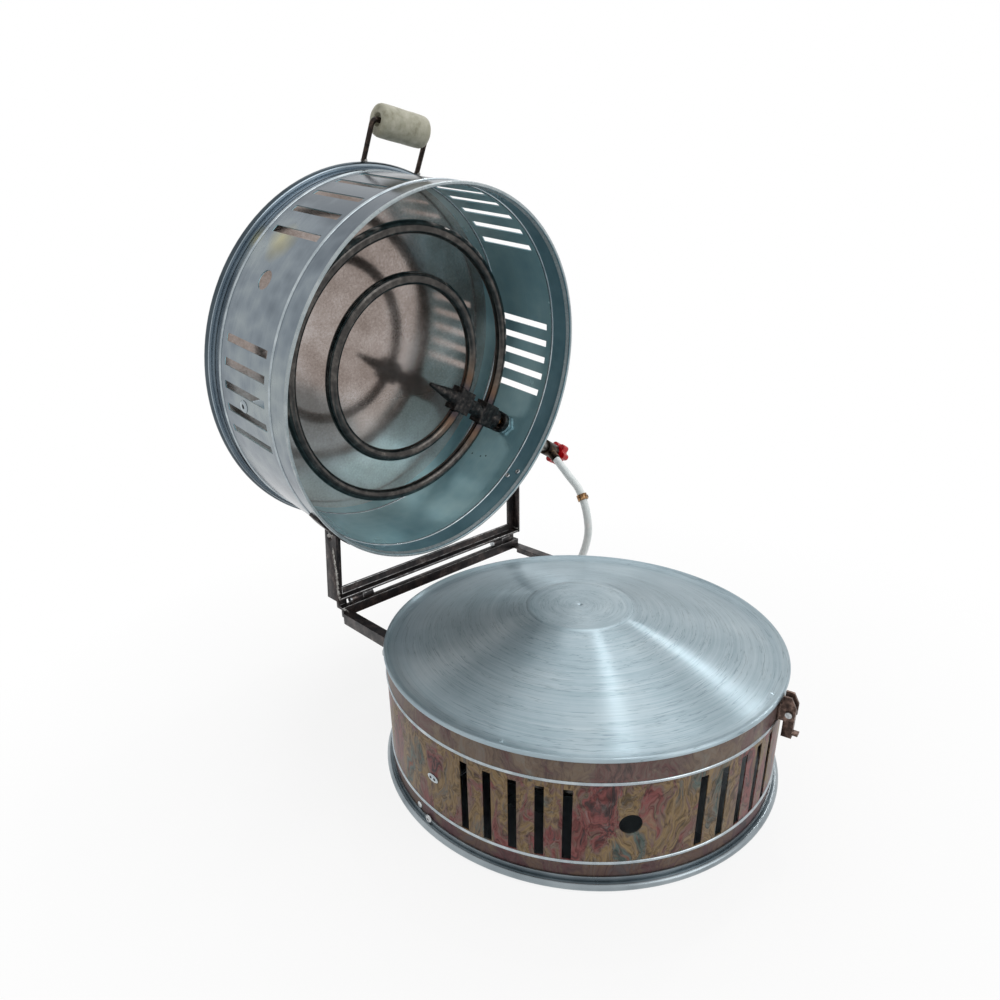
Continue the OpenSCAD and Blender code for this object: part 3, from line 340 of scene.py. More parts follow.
def galvanisedSheet(name, place, outside, inside, roughness, wall, stains=(), mouth=None, dull=None):
    material, tree, shader = newMaterial(name)
    coords = coordsIn(tree, place)
    parts = partsOf(tree, coords)
    stops = zincSheet["stops"]
    cloud = noise(tree, coords, zincSheet["cloud"])
    roundWall = vectors(tree, "MULTIPLY", {1: (0.02, 0.02, 1)}, {0: coords})
    lines = noise(tree, roundWall, zincSheet["line"], 3.0)
    tone = weighted(tree, (cells(tree, coords, zincSheet["crystal"]), 0.16), (cloud, 1.0), (lines, 0.14))
    outerTone = tone
    if dull:
        start, end, drop = dull
        # painted shade: the outer tone darkens towards the handle and the hinge
        paintedShade = spread(tree, maths(tree, "ABSOLUTE", parts[1]), start * mm, end * mm, 0.0, drop)
        outerTone = maths(tree, "SUBTRACT", tone, paintedShade)
    outer = ramp(tree, outerTone, list(zip(stops, outside)))
    straw = ramp(tree, tone, list(zip(stops[::2], zincSheet["straw"])))
    for angle, height, size in stains:
        middle = rotated(angle, "Z") @ (Vector((wall, 0, height)) * mm)
        away = vectors(tree, "DISTANCE", {1: middle}, {0: coords}).node.outputs["Value"]
        edge = maths(tree, "ADD", away, maths(tree, "MULTIPLY", cloud, 2 * size * mm))
        outer = mixed(tree, spread(tree, edge, size * mm, 2.1 * size * mm, 0.75, 0.0), outer, straw)
    inner = ramp(tree, tone, list(zip(stops, inside)))
    if mouth:
        strip = ramp(tree, tone, list(zip(stops[::2], mouth["tones"])))
        inner = mixed(tree, maths(tree, "LESS_THAN", parts[2], mouth["depth"] * mm), inner, strip)
    isOut = maths(tree, "GREATER_THAN", radiusOf(tree, coords), wall * mm)
    tree.links.new(mixed(tree, isOut, inner, outer), shader.inputs["Base Color"])
    # dull oxide covers half of the metal inside
    tree.links.new(spread(tree, isOut, 0.0, 1.0, 0.5, 1.0), shader.inputs["Metallic"])
    tree.links.new(spread(tree, cloud, 0.3, 0.75, *roughness), shader.inputs["Roughness"])
    bumpy(tree, shader, tone, 0.12, 0.25)
    return material


# spun aluminium: turning marks round the middle, which draw the shine out into fans, and a plainer flat
spun = {"tones": ("#8b9ea6", "#9fb0b8", "#b2c0c6"), "roughness": (0.3, 0.36), "metal": 0.66, "flat": 55,
        "scratches": 0.45}


def spunSheet():
    material, tree, shader = newMaterial("spunAluminium", Metallic=spun["metal"])
    coords = objectCoords(tree)
    radius = radiusOf(tree, coords)
    unit = vectors(tree, "NORMALIZE", None, {0: outTo(tree, coords)})
    reach = put(tree, "ShaderNodeCombineXYZ", None, None, {2: radius})

    # marks of one spacing, the longer the shorter the walk round the middle
    def turning(spacing, walk, detail):
        ringed = vectors(tree, "MULTIPLY_ADD", {1: (walk * mm, walk * mm, 0)}, {0: unit, 2: reach})
        return noise(tree, ringed, spacing, detail, Roughness=0.7)

    # fine marks 1.8 mm apart, drawn coarser than real ones so that they show, in bands of 8 mm
    fine = turning(1.8, 1.6, 5.0)
    broad = turning(8, 7, 3.0)
    stain = noise(tree, coords, 70, 5.0, Roughness=0.6)
    tone = weighted(tree, (fine, 0.38), (broad, 0.24), (stain, 0.38))
    colour = ramp(tree, tone, list(zip((0.36, 0.5, 0.64), spun["tones"])))
    # single scratches, thin and dark, at odd distances of 3 to 8 mm
    scratch = ramp(tree, turning(9, 6, 4.0), [(0.0, "#ffffff"), (0.488, "#ffffff"), (0.5, "#7d8b92"),
                                              (0.512, "#ffffff")])
    tree.links.new(mixed(tree, spun["scratches"], colour, scratch, "MULTIPLY"), shader.inputs["Base Color"])
    tree.links.new(spread(tree, tone, 0.36, 0.66, *spun["roughness"]), shader.inputs["Roughness"])
    bumpy(tree, shader, fine, 0.4 * spun["scratches"], 0.1)
    # a shine is drawn out along the tangent, so that points outward, across the marks
    outside = spread(tree, radius, (spun["flat"] - 2) * mm, (spun["flat"] + 2) * mm, 0.3, 1.0)
    tree.links.new(outside, shader.inputs["Anisotropic"])
    outward = put(tree, "ShaderNodeVectorTransform", {"vector_type": "VECTOR", "convert_from": "OBJECT",
                                                      "convert_to": "WORLD"}, None, {0: unit})
    tree.links.new(outward, shader.inputs["Tangent"])
    return material


# bright zinc sheet of the lid's back: fine grain and a blurred mirror, warm inside as a painted reflection
# tint and paler towards the hinge as a painted reflection, flowered with crystals outside, with a rolled rim
# painted dark at its edge as shade and a collar inside it painted pale against its shade
zincBack = {"depth": 154.4, "grain": 3, "cloud": 60, "crystal": 13, "stops": (0.38, 0.5, 0.62),
            "inside": ("#83766f", "#9d918b", "#b5aca8"), "paintedReflection": ("#aaa19b", "#bfb7b2", "#d0cac6"),
            "paintedReflectionFrom": 30, "paintedReflectionTo": 130, "outside": ("#7d868b", "#959da2", "#adb4b8"),
            "rim": ((202.9, ("#8b98a2", "#a3aeb6")), (208.4, ("#39434a", "#515c63")))}


def zincBackSheet():
    material, tree, shader = newMaterial("galvanisedBack")
    coords = coordsIn(tree, lidPlace)
    parts = partsOf(tree, coords)
    radius = radiusOf(tree, coords)
    grain = noise(tree, coords, zincBack["grain"], Roughness=0.75)
    cloud = noise(tree, coords, zincBack["cloud"])
    crystals = cells(tree, coords, zincBack["crystal"]).node.outputs["Color"]
    tone = weighted(tree, (grain, 0.4), (cloud, 0.6))
    flower = weighted(tree, (crystals, 0.22), (grain, 0.5), (cloud, 0.28))
    inner, paintedReflection, outer = [ramp(tree, socket, list(zip(zincBack["stops"], zincBack[side])))
                           for socket, side in ((tone, "inside"), (tone, "paintedReflection"), (flower, "outside"))]
    # painted reflection: paler, cooler tones and less metal towards the hinge, standing in for the lit lower
    # wall seen in the sheet
    low = spread(tree, parts[1], zincBack["paintedReflectionFrom"] * mm, zincBack["paintedReflectionTo"] * mm, 0.0, 1.0)
    inner = mixed(tree, low, inner, paintedReflection)
    colour = mixed(tree, maths(tree, "GREATER_THAN", parts[2], zincBack["depth"] * mm), inner, outer)
    # painted light and shade: the collar just inside the roll is pale, the roll's outer part dark
    for distance, tones in zincBack["rim"]:
        edge = ramp(tree, cloud, list(zip((0.3, 0.7), tones)))
        colour = mixed(tree, maths(tree, "GREATER_THAN", radius, distance * mm), colour, edge)
    tree.links.new(colour, shader.inputs["Base Color"])
    tree.links.new(spread(tree, low, 0.0, 1.0, 0.82, 0.55), shader.inputs["Metallic"])
    tree.links.new(spread(tree, tone, 0.38, 0.62, 0.1, 0.18), shader.inputs["Roughness"])
    bumpy(tree, shader, grain, 0.06, 0.2)
    return material


# printed tinplate: lacquered flames of brown, wine red, straw and grey green that let the metal shine
# through, with a plain band at the top and a dull one at the foot
tinplate = {"topBand": (108, 116), "footBand": (22, 27), "stir": 40, "flame": 22, "patch": 58,
            "stroke": 4, "fleck": 6,
            "flames": [(0.36, "#28262b"), (0.41, "#4f4142"), (0.45, "#85504f"), (0.49, "#73635d"),
                       (0.53, "#8c7756"), (0.57, "#776b60"), (0.61, "#576a68"), (0.67, "#8c5541")]}


def printedTinplate():
    material, tree, shader = newMaterial("printedTinplate", Metallic=0.2, Specular_IOR_Level=0.12)
    parts = partsOf(tree, objectCoords(tree))
    height = parts[2]
    angle = maths(tree, "ARCTAN2", parts[0], maths(tree, "MULTIPLY", parts[1], -1.0))
    walk = maths(tree, "MULTIPLY", angle, drum["outside"] * mm)
    flow = put(tree, "ShaderNodeCombineXYZ", None, None, {0: walk, 1: maths(tree, "MULTIPLY", height, 0.45)})
    stir = noise(tree, flow, tinplate["stir"], 3.0).node.outputs["Color"]
    push = vectors(tree, "MULTIPLY_ADD", {1: (0.07, 0.05, 0)}, {0: stir, 2: flow})
    flame = noise(tree, push, tinplate["flame"], 9.0, Roughness=0.72, Distortion=0.5)
    patches = noise(tree, flow, tinplate["patch"], 1.0)
    colour = ramp(tree, weighted(tree, (flame, 0.6), (patches, 0.4)), tinplate["flames"])
    # dark hair strokes about 4 mm apart and pale flecks between them
    strokes = ramp(tree, noise(tree, push, tinplate["stroke"], 6.0, Distortion=1.5),
                   [(0.36, "#4a423f"), (0.47, "#d8d0c8"), (0.6, "#ffffff")])
    colour = mixed(tree, 0.62, colour, strokes, "MULTIPLY")
    flecks = spread(tree, noise(tree, push, tinplate["fleck"], 5.0, Roughness=0.7), 0.56, 0.72, 0.0, 0.4)
    colour = mixed(tree, flecks, colour, ramp(tree, patches, [(0.4, "#9a9a97"), (0.6, "#a8936a")]))
    plain = ramp(tree, flame, [(0.34, "#4c4041"), (0.5, "#695d59"), (0.66, "#847a70")])
    start, end = tinplate["topBand"]
    colour = mixed(tree, spread(tree, height, start * mm, end * mm, 0.0, 0.7), colour, plain)
    dull = ramp(tree, flame, [(0.3, "#3d3034"), (0.5, "#554347"), (0.7, "#6b5d56")])
    start, end = tinplate["footBand"]
    colour = mixed(tree, spread(tree, height, start * mm, end * mm, 0.7, 0.0), colour, dull)
    tree.links.new(colour, shader.inputs["Base Color"])
    tree.links.new(spread(tree, flame, 0.3, 0.7, 0.34, 0.5), shader.inputs["Roughness"])
    bumpy(tree, shader, flame, 0.05, 0.2)
    return material


# burner tube: drawn steel with long streaks, blued and straw coloured by heat beside the sockets
tube = {"streak": 9, "heatFrom": 32, "heatTo": 62,
        "steel": [(0.3, "#302f2f"), (0.5, "#474543"), (0.7, "#66625e")],
        "heat": [(0.0, "#38353d"), (0.024, "#453c40"), (0.034, "#6c5342"), (0.05, "#68594c")]}


def burnerTube(name, place):
    material, tree, shader = newMaterial(name, Metallic=1.0)
    coords = coordsIn(tree, place)
    parts = partsOf(tree, coords)
    streak = noise(tree, coords, tube["streak"], 6.0, Roughness=0.7)
    steel = ramp(tree, streak, tube["steel"])
    # distance from the feed pipe's line, with the far half of the ring put out of its reach
    across = maths(tree, "ADD", maths(tree, "ABSOLUTE", parts[1]), maths(tree, "LESS_THAN", parts[0], 0.0))
    heat = ramp(tree, maths(tree, "ADD", across, maths(tree, "MULTIPLY", streak, 12 * mm)), tube["heat"])
    hot = spread(tree, across, tube["heatFrom"] * mm, tube["heatTo"] * mm, 0.7, 0.0)
    tree.links.new(mixed(tree, hot, steel, heat), shader.inputs["Base Color"])
    tree.links.new(spread(tree, streak, 0.3, 0.7, 0.16, 0.28), shader.inputs["Roughness"])
    bumpy(tree, shader, streak, 0.08, 0.2)
    return material


# a surface of blotches of one size in mm, with the colour and the roughness following them
def mottled(name, stops, size, roughness, metallic, bump, depth=0.25, **values):
    material, tree, shader = newMaterial(name, Metallic=metallic, **values)
    patch = noise(tree, objectCoords(tree), size, 6.0, Roughness=0.62)
    tree.links.new(ramp(tree, patch, stops), shader.inputs["Base Color"])
    tree.links.new(spread(tree, patch, 0.3, 0.7, *roughness), shader.inputs["Roughness"])
    bumpy(tree, shader, patch, bump, depth)
    return material


# bare galvanised lid: cool grey outside with two straw stains and painted shade towards the handle and the
# hinge, blue green inside as a painted tint of reflected surroundings, darker at the mouth
lidSheet = galvanisedSheet("galvanisedLid", lidPlace, ("#58626b", "#778189", "#949d9f"),
                           ("#8ab8c5", "#9cc8d2", "#aed6de"), (0.15, 0.3), drum["middle"],
                           stains=((-134.6, 96, 26), (-137, 138, 18)),
                           mouth={"depth": 30.6, "tones": ("#67909e", "#83abb8")}, dull=(125, 185, 0.3))
# tray and straps: plain grey zinc
trayTones = ("#7b8489", "#8f989d", "#a2aaae")
traySheet = galvanisedSheet("galvanisedTray", unturned, trayTones, trayTones, (0.24, 0.4), 190)
backSheet = zincBackSheet()
aluminium = spunSheet()
printed = printedTinplate()
lidTube = burnerTube("burnerTubeLid", lidFeed)
baseTube = burnerTube("burnerTubeBase", baseFeed)
# hot rolled bar: blue black scale with a brown bloom, grey where it is knocked
rolledSteel = mottled("hotRolledSteel", [(0.3, "#1b1b1d"), (0.48, "#2e2b2c"), (0.6, "#453c3a"),
                                         (0.74, "#766e6a")],
                      11, (0.5, 0.36), 0.6, 0.35, 0.3)
# its edges, rubbed back to bright metal in places and lightened as painted highlights
rubbedSteelAndPaintedHighlight = mottled("rubbedEdgeAndPaintedHighlight", [(0.3, "#3f3b3b"), (0.5, "#8b8a8a"), (0.7, "#bbbcbc")],
                      7, (0.4, 0.28), 0.95, 0.2, 0.2)
# weld metal: lumpy and silvery
weldSteel = mottled("weldSteel", [(0.3, "#4a4744"), (0.5, "#8a8783"), (0.68, "#b9b8b4")],
                    4, (0.4, 0.24), 0.9, 0.5, 0.4)
# sand casting: sooty black with grey grains
casting = mottled("burnerCasting", [(0.3, "#141415"), (0.5, "#2d2c2c"), (0.66, "#4c4744"),
                                    (0.78, "#7d7771")],
                  5, (0.55, 0.34), 0.8, 0.5, 0.5)
# feed pipe: worn grey steel
pipeSteel = mottled("feedPipe", [(0.3, "#4d4c4c"), (0.5, "#74736f"), (0.7, "#989590")],
                    7, (0.42, 0.3), 0.95, 0.2)
# valve brass gone brown black, and the yellower brass of clamps and jets
agedBrass = mottled("agedBrass", [(0.3, "#191416"), (0.5, "#2f2620"), (0.68, "#54432e")],
                    6, (0.45, 0.28), 0.95, 0.2)
clampBrass = mottled("clampBrass", [(0.32, "#3d2c1c"), (0.5, "#86674a"), (0.68, "#c4a075")],
                     4, (0.34, 0.22), 1.0, 0.15)
# zinc plate of nuts and rivets, bright and fine
zinc = mottled("brightZinc", [(0.3, "#8b9093"), (0.5, "#b4b8ba"), (0.7, "#d3d6d7")],
               3, (0.36, 0.24), 1.0, 0.12)
# beads painted to a pale shine as a painted highlight, and the duller hem of the lid's mouth painted paler
# than the sheet as light on the lip
paleZincPaintedShine = mottled("beadPaintedShine", [(0.3, "#8d979d"), (0.5, "#a4adb2"), (0.7, "#bac2c6")],
                   18, (0.3, 0.2), 1.0, 0.08)
hemZincPaintedLight = mottled("hemPaintedLightTone", [(0.3, "#8f9a9e"), (0.5, "#a5afb2"), (0.7, "#b9c1c3")],
                  14, (0.34, 0.22), 0.35, 0.08)
# soot and shadow at the bottom of small holes
darkHole = mottled("darkHole", [(0.3, "#08080a"), (0.6, "#17161a")], 3, (0.7, 0.5), 0.3, 0.2)
# latch steel: brown rust, lighter on its worn edges
rust = mottled("rustySteel", [(0.3, "#2a1f1c"), (0.5, "#54433c"), (0.68, "#846c62")],
               5, (0.5, 0.32), 0.7, 0.4)
rustEdge = mottled("rustyEdge", [(0.3, "#5b4034"), (0.5, "#9b8274"), (0.7, "#c3b3a8")],
                   4, (0.4, 0.28), 0.8, 0.3)
# moulded red plastic with a soft gloss
knobRed = mottled("redPlastic", [(0.3, "#9a0a12"), (0.5, "#b81019"), (0.7, "#c81c24")],
                  9, (0.2, 0.28), 0.0, 0.05, 0.2, Specular_IOR_Level=0.3)
# white rubber hose, faintly grey
hoseWhite = mottled("whiteRubber", [(0.3, "#e0eaea"), (0.5, "#ecf3f2"), (0.7, "#f5f8f7")],
                    14, (0.36, 0.46), 0.0, 0.06)
# pale turned wood, grey from handling
wood = mottled("paleWood", [(0.28, "#8d8a76"), (0.45, "#a9a793"), (0.58, "#b7b5a3"), (0.74, "#c8c6b7")],
               9, (0.5, 0.65), 0.0, 0.25)
# handle wire: black with brown rust showing
blackWire = mottled("blackWire", [(0.3, "#191718"), (0.5, "#332b27"), (0.7, "#5c4c42")],
                    5, (0.5, 0.36), 0.8, 0.3)
print("materials made")


# gives a kept solid its material
def dress(material, *nodes):
    for node in nodes:
        for slot in bpy.data.objects[node].material_slots:
            slot.material = material


# camera, as the object is seen
camera = {"place": (-0.5252, -0.4158, 0.5142), "turn": (66.575, 2.0005, -42.4165), "lens": 25.872,
          "sensor": 36.0, "shift": (0.0358, 0.0564), "near": 0.01}
bpy.ops.object.camera_add(location=camera["place"], rotation=[math.radians(a) for a in camera["turn"]])
view = bpy.context.object
view.name = "camera"
view.data.lens = camera["lens"]
view.data.sensor_width = camera["sensor"]
view.data.shift_x, view.data.shift_y = camera["shift"]
view.data.clip_start = camera["near"]
bpy.context.scene.camera = view
print("camera set")

# latch, valves, clamps, nuts and brackets with eased edges
for node, body, width, first, second, slot in (
        ("latch_bracket", "base", 0.4, rust, rustEdge, "rusty_steel"),
        ("latch_lever", "latch", 0.7, rust, rustEdge, "rusty_steel"),
        ("lid_valve_body", "lid", 0.8, agedBrass, agedBrass, "valve_brass"),
        ("base_valve_body", "base", 0.8, agedBrass, clampBrass, "valve_brass"),
        ("gas_tee", "base", 0.8, agedBrass, clampBrass, "valve_brass"),
        ("upper_hose_clamp", "lid", 0.3, clampBrass, zinc, "valve_brass"),
        ("lower_hose_clamp", "base", 0.3, clampBrass, zinc, "valve_brass"),
        ("lid_stem_nuts", "lid", 0.5, zinc, paleZincPaintedShine, "bright_steel"),
        ("base_stem_nuts", "base", 0.5, zinc, paleZincPaintedShine, "bright_steel"),
        ("lid_burner_bracket", "lid", 0.4, traySheet, paleZincPaintedShine, "galvanised_steel"),
        ("base_burner_bracket", "base", 0.4, traySheet, paleZincPaintedShine, "galvanised_steel")):
    finish(eased(node, node + ".eased", width, (first, second)), body, slot, node)
print("latch and valves eased")

# hose from the lid valve to the tee, pushed over both nipples, which bends between them
hose = {"radius": 5.6, "steps": 12, "pathStep": 4, "bendFrom": 4, "bendTo": -2,
        "route": [(275.16, 270.4, 214.42), (271.57, 255.16, 205.55), (267.59, 238.22, 195.68),
                  (263, 218, 184), (260, 204, 166), (260, 197, 144), (262, 196, 121), (259, 198, 98),
                  (248, 199, 79), (231, 198, 68), (211.2, 197, 64.6), (193.2, 197, 64.6)]}


def smoothRoute(points, steps):
    pts = [Vector(p) * mm for p in points]
    pts = [2 * pts[0] - pts[1]] + pts + [2 * pts[-1] - pts[-2]]
    line = []
    for a, b, c, d in zip(pts, pts[1:], pts[2:], pts[3:]):
        for i in range(steps):
            t = i / steps
            line.append(0.5 * (2 * b + (c - a) * t + (2 * a - 5 * b + 4 * c - d) * t ** 2
                               + (3 * b - a - 3 * c + d) * t ** 3))
    return line + [pts[-2]]


fineLine = smoothRoute(hose["route"], hose["steps"])
hosePiece = wear(rod("gasHose", fineLine, hose["radius"]), hoseWhite)
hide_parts("gas_hose")
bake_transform(hosePiece)

# baking plate, spun as one sheet, with a dimple in the middle, a groove round the flat and a rolled edge
plate = {"edge": 205, "foot": 190, "flat": 55, "rise": 34.8, "base": 132.7, "thick": 2.0, "bow": 0.25,
         "roll": 2.2, "lift": 0.2, "dimple": 3, "dimpleDepth": 1, "groove": 0.35, "rings": 34, "ringStep": 4}
plateTop = plate["base"] + plate["thick"]


def domeHeight(radius):
    s = (radius - plate["flat"]) / (plate["foot"] - plate["flat"])
    s = min(max(s, 0), 1)
    return plate["rise"] * (1 - (1 - plate["bow"]) * s - plate["bow"] * s * s)


def plateHeight(radius):
    dimple = max(0, plate["dimpleDepth"] * (1 - radius / plate["dimple"]))
    groove = plate["groove"] if abs(radius - plate["flat"]) < 1 else 0
    return plateTop + domeHeight(radius) - dimple - groove


radii = [0.01, 1.2, 2.4, 3.4, 5, 20, 40, plate["flat"] - 5, plate["flat"] - 1.4, plate["flat"] - 0.4]
radii += [plate["flat"] + 0.6 + plate["ringStep"] * i for i in range(plate["rings"])] + [plate["foot"] - 1]
outline = [(r, plateHeight(r)) for r in radii]
outline += [(plate["foot"] + 0.5, plateTop + 0.1), (plate["foot"] + 2, plateTop),
            (plate["foot"] + 7, plateTop), (plate["edge"] - 5.5, plateTop + 0.6)]
outline += arc(plate["edge"] - plate["roll"], plate["base"] + plate["lift"] + plate["roll"], plate["roll"],
               range(120, -91, -15))
outline += [(plate["foot"] + 2, plate["base"]), (plate["foot"] - 0.6, plate["base"] + 0.4)]
outline += [(r, plate["base"] + domeHeight(r)) for r in (170, 140, 110, 80, plate["flat"], 0.01)]
platePiece = wear(turned("bakingPlate", outline, 160, 30), aluminium)
finish(platePiece, "base", "spun_aluminium", "baking_plate")
print("plate spun")

# rolled beads of both drums, painted paler than the sheet as a highlight along them
beads = {"half": 1.72, "base": (26.4, 111.3), "lid": (31.1, 131.5), "steps": 192}


def beadRings(name, heights, matrix):
    parts = [turned(name, arc(drum["middle"], height, beads["half"], range(0, 361, 30)), beads["steps"], 60)
             for height in heights]
    return wear(settle(joined(name, parts), matrix), paleZincPaintedShine)


finish(beadRings("baseBeads", beads["base"], unturned), "base", "bright_steel")
finish(beadRings("lidBeads", beads["lid"], lidPlace), "lid", "bright_steel")

# hem of the lid's mouth: half round outside, turned in flat with a raised edge
hem = {"out": 204.2, "flat": 201.2, "edge": 199.9, "low": -0.12, "fold": 4.2, "deep": 8.2}
outline = [(drum["middle"], hem["low"]), (hem["out"] - 0.6, 0.2), (hem["out"] - 0.05, 1), (hem["out"], 1.6),
           (hem["out"] - 0.05, 2.3), (hem["out"] - 0.6, 3.1), (drum["middle"] + 0.1, 3.35),
           (drum["middle"], hem["deep"]), (hem["flat"], hem["deep"] - 0.4), (hem["edge"], hem["deep"] - 1.3),
           (hem["edge"], hem["fold"] + 2), (hem["flat"], hem["fold"]), (hem["flat"], 0.6),
           (hem["flat"] + 0.5, 0), (drum["middle"], hem["low"])]
hemPiece = settle(turned("lidHem", outline, beads["steps"], 35), lidPlace)
# the hem wears a paler, duller zinc than the sheet, painted light on the lip
finish(wear(hemPiece, hemZincPaintedLight), "lid", "bright_steel")
print("beads and hem rolled")

# handle: bent rod welded to the back plate's rim
handle = {"rim": 210.6, "depth": 151.05, "turn": 8, "lean": 12, "half": 37.5, "up": 38.5, "rod": 2.8,
          "bend": 6, "sunk": 2.6, "straight": 14}
handlePlace = (lidPlace @ rotated(handle["turn"], "Z") @ shifted(0, -handle["rim"], handle["depth"])
               @ rotated(90 + handle["lean"], "X"))
leg = [(handle["half"], -handle["sunk"]), (handle["half"], handle["straight"])]
leg += arc(handle["half"] - handle["bend"], handle["up"] - handle["bend"], handle["bend"], range(0, 91, 10))
bow = [(-x, z) for x, z in leg] + leg[::-1]
wirePiece = rod("handleWire", [handlePlace @ (Vector((x, 0, z)) * mm) for x, z in bow], handle["rod"])
finish(wear(wirePiece, blackWire), "lid", "bright_steel", "handle_wire")

# turned grip with rounded ends, recessed round the wire
grip = {"radius": 16.2, "half": 32.2, "bore": 2.88, "recess": 6.5, "recessDepth": 6}
radius, half, recess = grip["radius"], grip["half"], grip["recess"]
inner = half - grip["recessDepth"]
end = [(grip["bore"], inner), (recess - 0.4, inner), (recess, inner + 0.6), (recess + 0.2, half - 0.9),
       (recess + 1.1, half), (radius - 5, half - 0.1), (radius - 2.6, half - 0.6), (radius - 1, half - 2),
       (radius - 0.2, half - 4.4), (radius, half - 8)]
outline = [(r, -z) for r, z in end] + [(radius + 0.15, -12), (radius - 0.1, 3), (radius + 0.1, 14)]
outline += end[::-1] + [(grip["bore"], -inner)]
gripPiece = wear(turned("handleGrip", outline, 64, 40), wood)
settle(gripPiece, handlePlace @ shifted(0, 0, handle["up"]) @ rotated(90, "Y"))
finish(gripPiece, "grip", "pale_wood", "handle_grip")
print("handle bent and grip turned")

# knobs: six round lobes about a hub, moulded soft, with a raised cap and a spindle
knob = {"hub": 13.2, "lobe": 5.2, "reach": 12.8, "lobes": 6, "thick": 14, "spindle": 3, "socket": 9.5,
        "grain": 0.7, "soften": 16, "lidStart": 340, "lidSpindle": 6, "baseStart": 279, "baseSpindle": 16}


def knobLump(radius, reach, angle):
    turn = math.radians(angle)
    middle = (reach * mm * math.cos(turn), reach * mm * math.sin(turn), 0)
    bpy.ops.mesh.primitive_cylinder_add(vertices=40, depth=knob["thick"] * mm, radius=radius * mm,
                                        location=middle)
    return bpy.context.object


def lobedKnob(name, matrix, start, spindle):
    lumps = [knobLump(knob["lobe"], knob["reach"], i * 360 / knob["lobes"]) for i in range(knob["lobes"])]
    body = settle(joined(name, lumps + [knobLump(knob["hub"], 0, 0)]))
    wear(smooth(melted(body, knob["grain"], knob["soften"]), 60), knobRed)
    front = knob["thick"] / 2
    cap = turned(name + ".cap", [(0.01, front + 0.2), (3.2, front + 0.2), (3.8, front + 0.7),
                                 (7, front + 0.9), (8.4, front + 0.5), (8.8, front - 0.6),
                                 (8.6, front - 2)], 40)
    tail = -front - spindle - knob["socket"]
    stem = turned(name + ".stem", [(0.01, 2), (knob["spindle"], 2), (knob["spindle"], tail),
                                   (0.01, tail)], 32)
    whole = joined(name, [body, wear(cap, knobRed), wear(stem, zinc)])
    return settle(whole, matrix @ shifted(start + front, 0, 0) @ rotated(90, "Y"))


lidKnob = lobedKnob("lidKnob", lidFeed, knob["lidStart"], knob["lidSpindle"])
finish(lidKnob, "lid_knob", "red_plastic", "lid_knob")
baseKnob = lobedKnob("baseKnob", baseFeed, knob["baseStart"], knob["baseSpindle"])
finish(baseKnob, "base_knob", "red_plastic", "base_knob")
print("knobs moulded")

# blind rivets: a ringed head with the stump of the mandrel painted dark as the shade in its hole, and a
# swollen tail behind the sheets
rivet = {"shank": 2, "dome": {"head": 3.5, "rise": 1.3, "hole": 1.1},
         "flush": {"head": 2.6, "rise": 0.3, "hole": 0.3},
         "plateRadius": 195.5, "plateAngles": (-79, 20, 116, 200),
         "lowerHeight": 124.5, "lowerRadius": 205.7, "lowerAngles": (40.03, 53.55, 126.45, 139.97),
         "upperRadius": 201.9,
         "upperPlaces": ((43.73, 15.4), (46.83, 25.8), (136.27, 15.4), (133.17, 25.8))}


def blindRivet(name, gripped, metal, head, rise, hole):
    shank = rivet["shank"]
    body = turned(name, [(hole, 0.1), (hole, rise * 0.75), (hole + 0.3, rise), (head * 0.66, rise * 0.95),
                         (head * 0.9, rise * 0.6), (head, rise * 0.1), (head, 0), (shank, 0),
                         (shank, -gripped), (shank + 0.8, -gripped - 0.2), (shank + 1, -gripped - 1),
                         (0.01, -gripped - 1.4)], 28)
    stump = turned(name + ".stump", [(0.01, rise * 0.35), (hole * 0.8, rise * 0.3), (hole * 1.02, 0)], 20)
    return joined(name, [wear(body, metal), wear(stump, darkHole)])


def riveted(name, gripped, places, body, node, metal=zinc, shape="dome"):
    first = blindRivet(name, gripped, metal, **rivet[shape])
    parts = [settle(copyOf(first, name), place) for place in places]
    bpy.data.objects.remove(first)
    return finish(joined(name, parts), body, "bright_steel", node)


platePlaces = [rotated(a, "Z") @ shifted(rivet["plateRadius"], 0, plateTop) for a in rivet["plateAngles"]]
# the lower one of the seam's two rivets is the larger
seamPlaces = [onWall(172, 15.9, 203.1), onWall(176.7, 11, 204.6) @ Matrix.Scale(1.3, 4)]
lowerPlaces = [onWall(a, rivet["lowerHeight"], rivet["lowerRadius"]) for a in rivet["lowerAngles"]]
upperPlaces = [lidPlace @ onWall(a, depth, rivet["upperRadius"], True) for a, depth in rivet["upperPlaces"]]
riveted("plateRivets", 3, platePlaces, "base", "plate_rivets", aluminium, "flush")
riveted("seamRivets", 2.7, seamPlaces, "base", "base_rivets")
riveted("lowerFootRivets", 3.8, lowerPlaces, "base", "lower_frame_rivets")
riveted("upperFootRivets", 3.8, upperPlaces, "lid", "upper_frame_rivets")
print("rivets set")

# frame members with rubbed edges, lightened as painted highlights
members = {"ease": 0.8, "levels": {"lower": "base", "upper": "lid"},
           "names": ("bar", "left_arm", "right_arm", "left_barrel", "right_barrel")}
for level, body in members["levels"].items():
    for member in members["names"]:
        node = level + "_" + member
        piece = eased(node, node + ".eased", members["ease"], (rolledSteel, rubbedSteelAndPaintedHighlight))
        finish(piece, body, "mill_scale_steel", node)
print("frame eased")

# cast mixing tubes, rough from the sand
cast = {"ease": 2.2, "grain": 1.1, "soften": 3, "lumps": 7, "lift": 1.1}
sand = bpy.data.textures.new("castLumps", "CLOUDS")
sand.noise_scale = cast["lumps"] * mm
for body in ("lid", "base"):
    node = body + "_manifold"
    piece = melted(eased(node, node + ".cast", cast["ease"], (casting,)), cast["grain"], cast["soften"])
    useModifier(piece, "DISPLACE", texture=sand, texture_coords="LOCAL", strength=cast["lift"] * mm,
                mid_level=0.5)
    finish(wear(smooth(piece, 60), casting), body, "burner_casting", node)
print("mixing tubes cast")

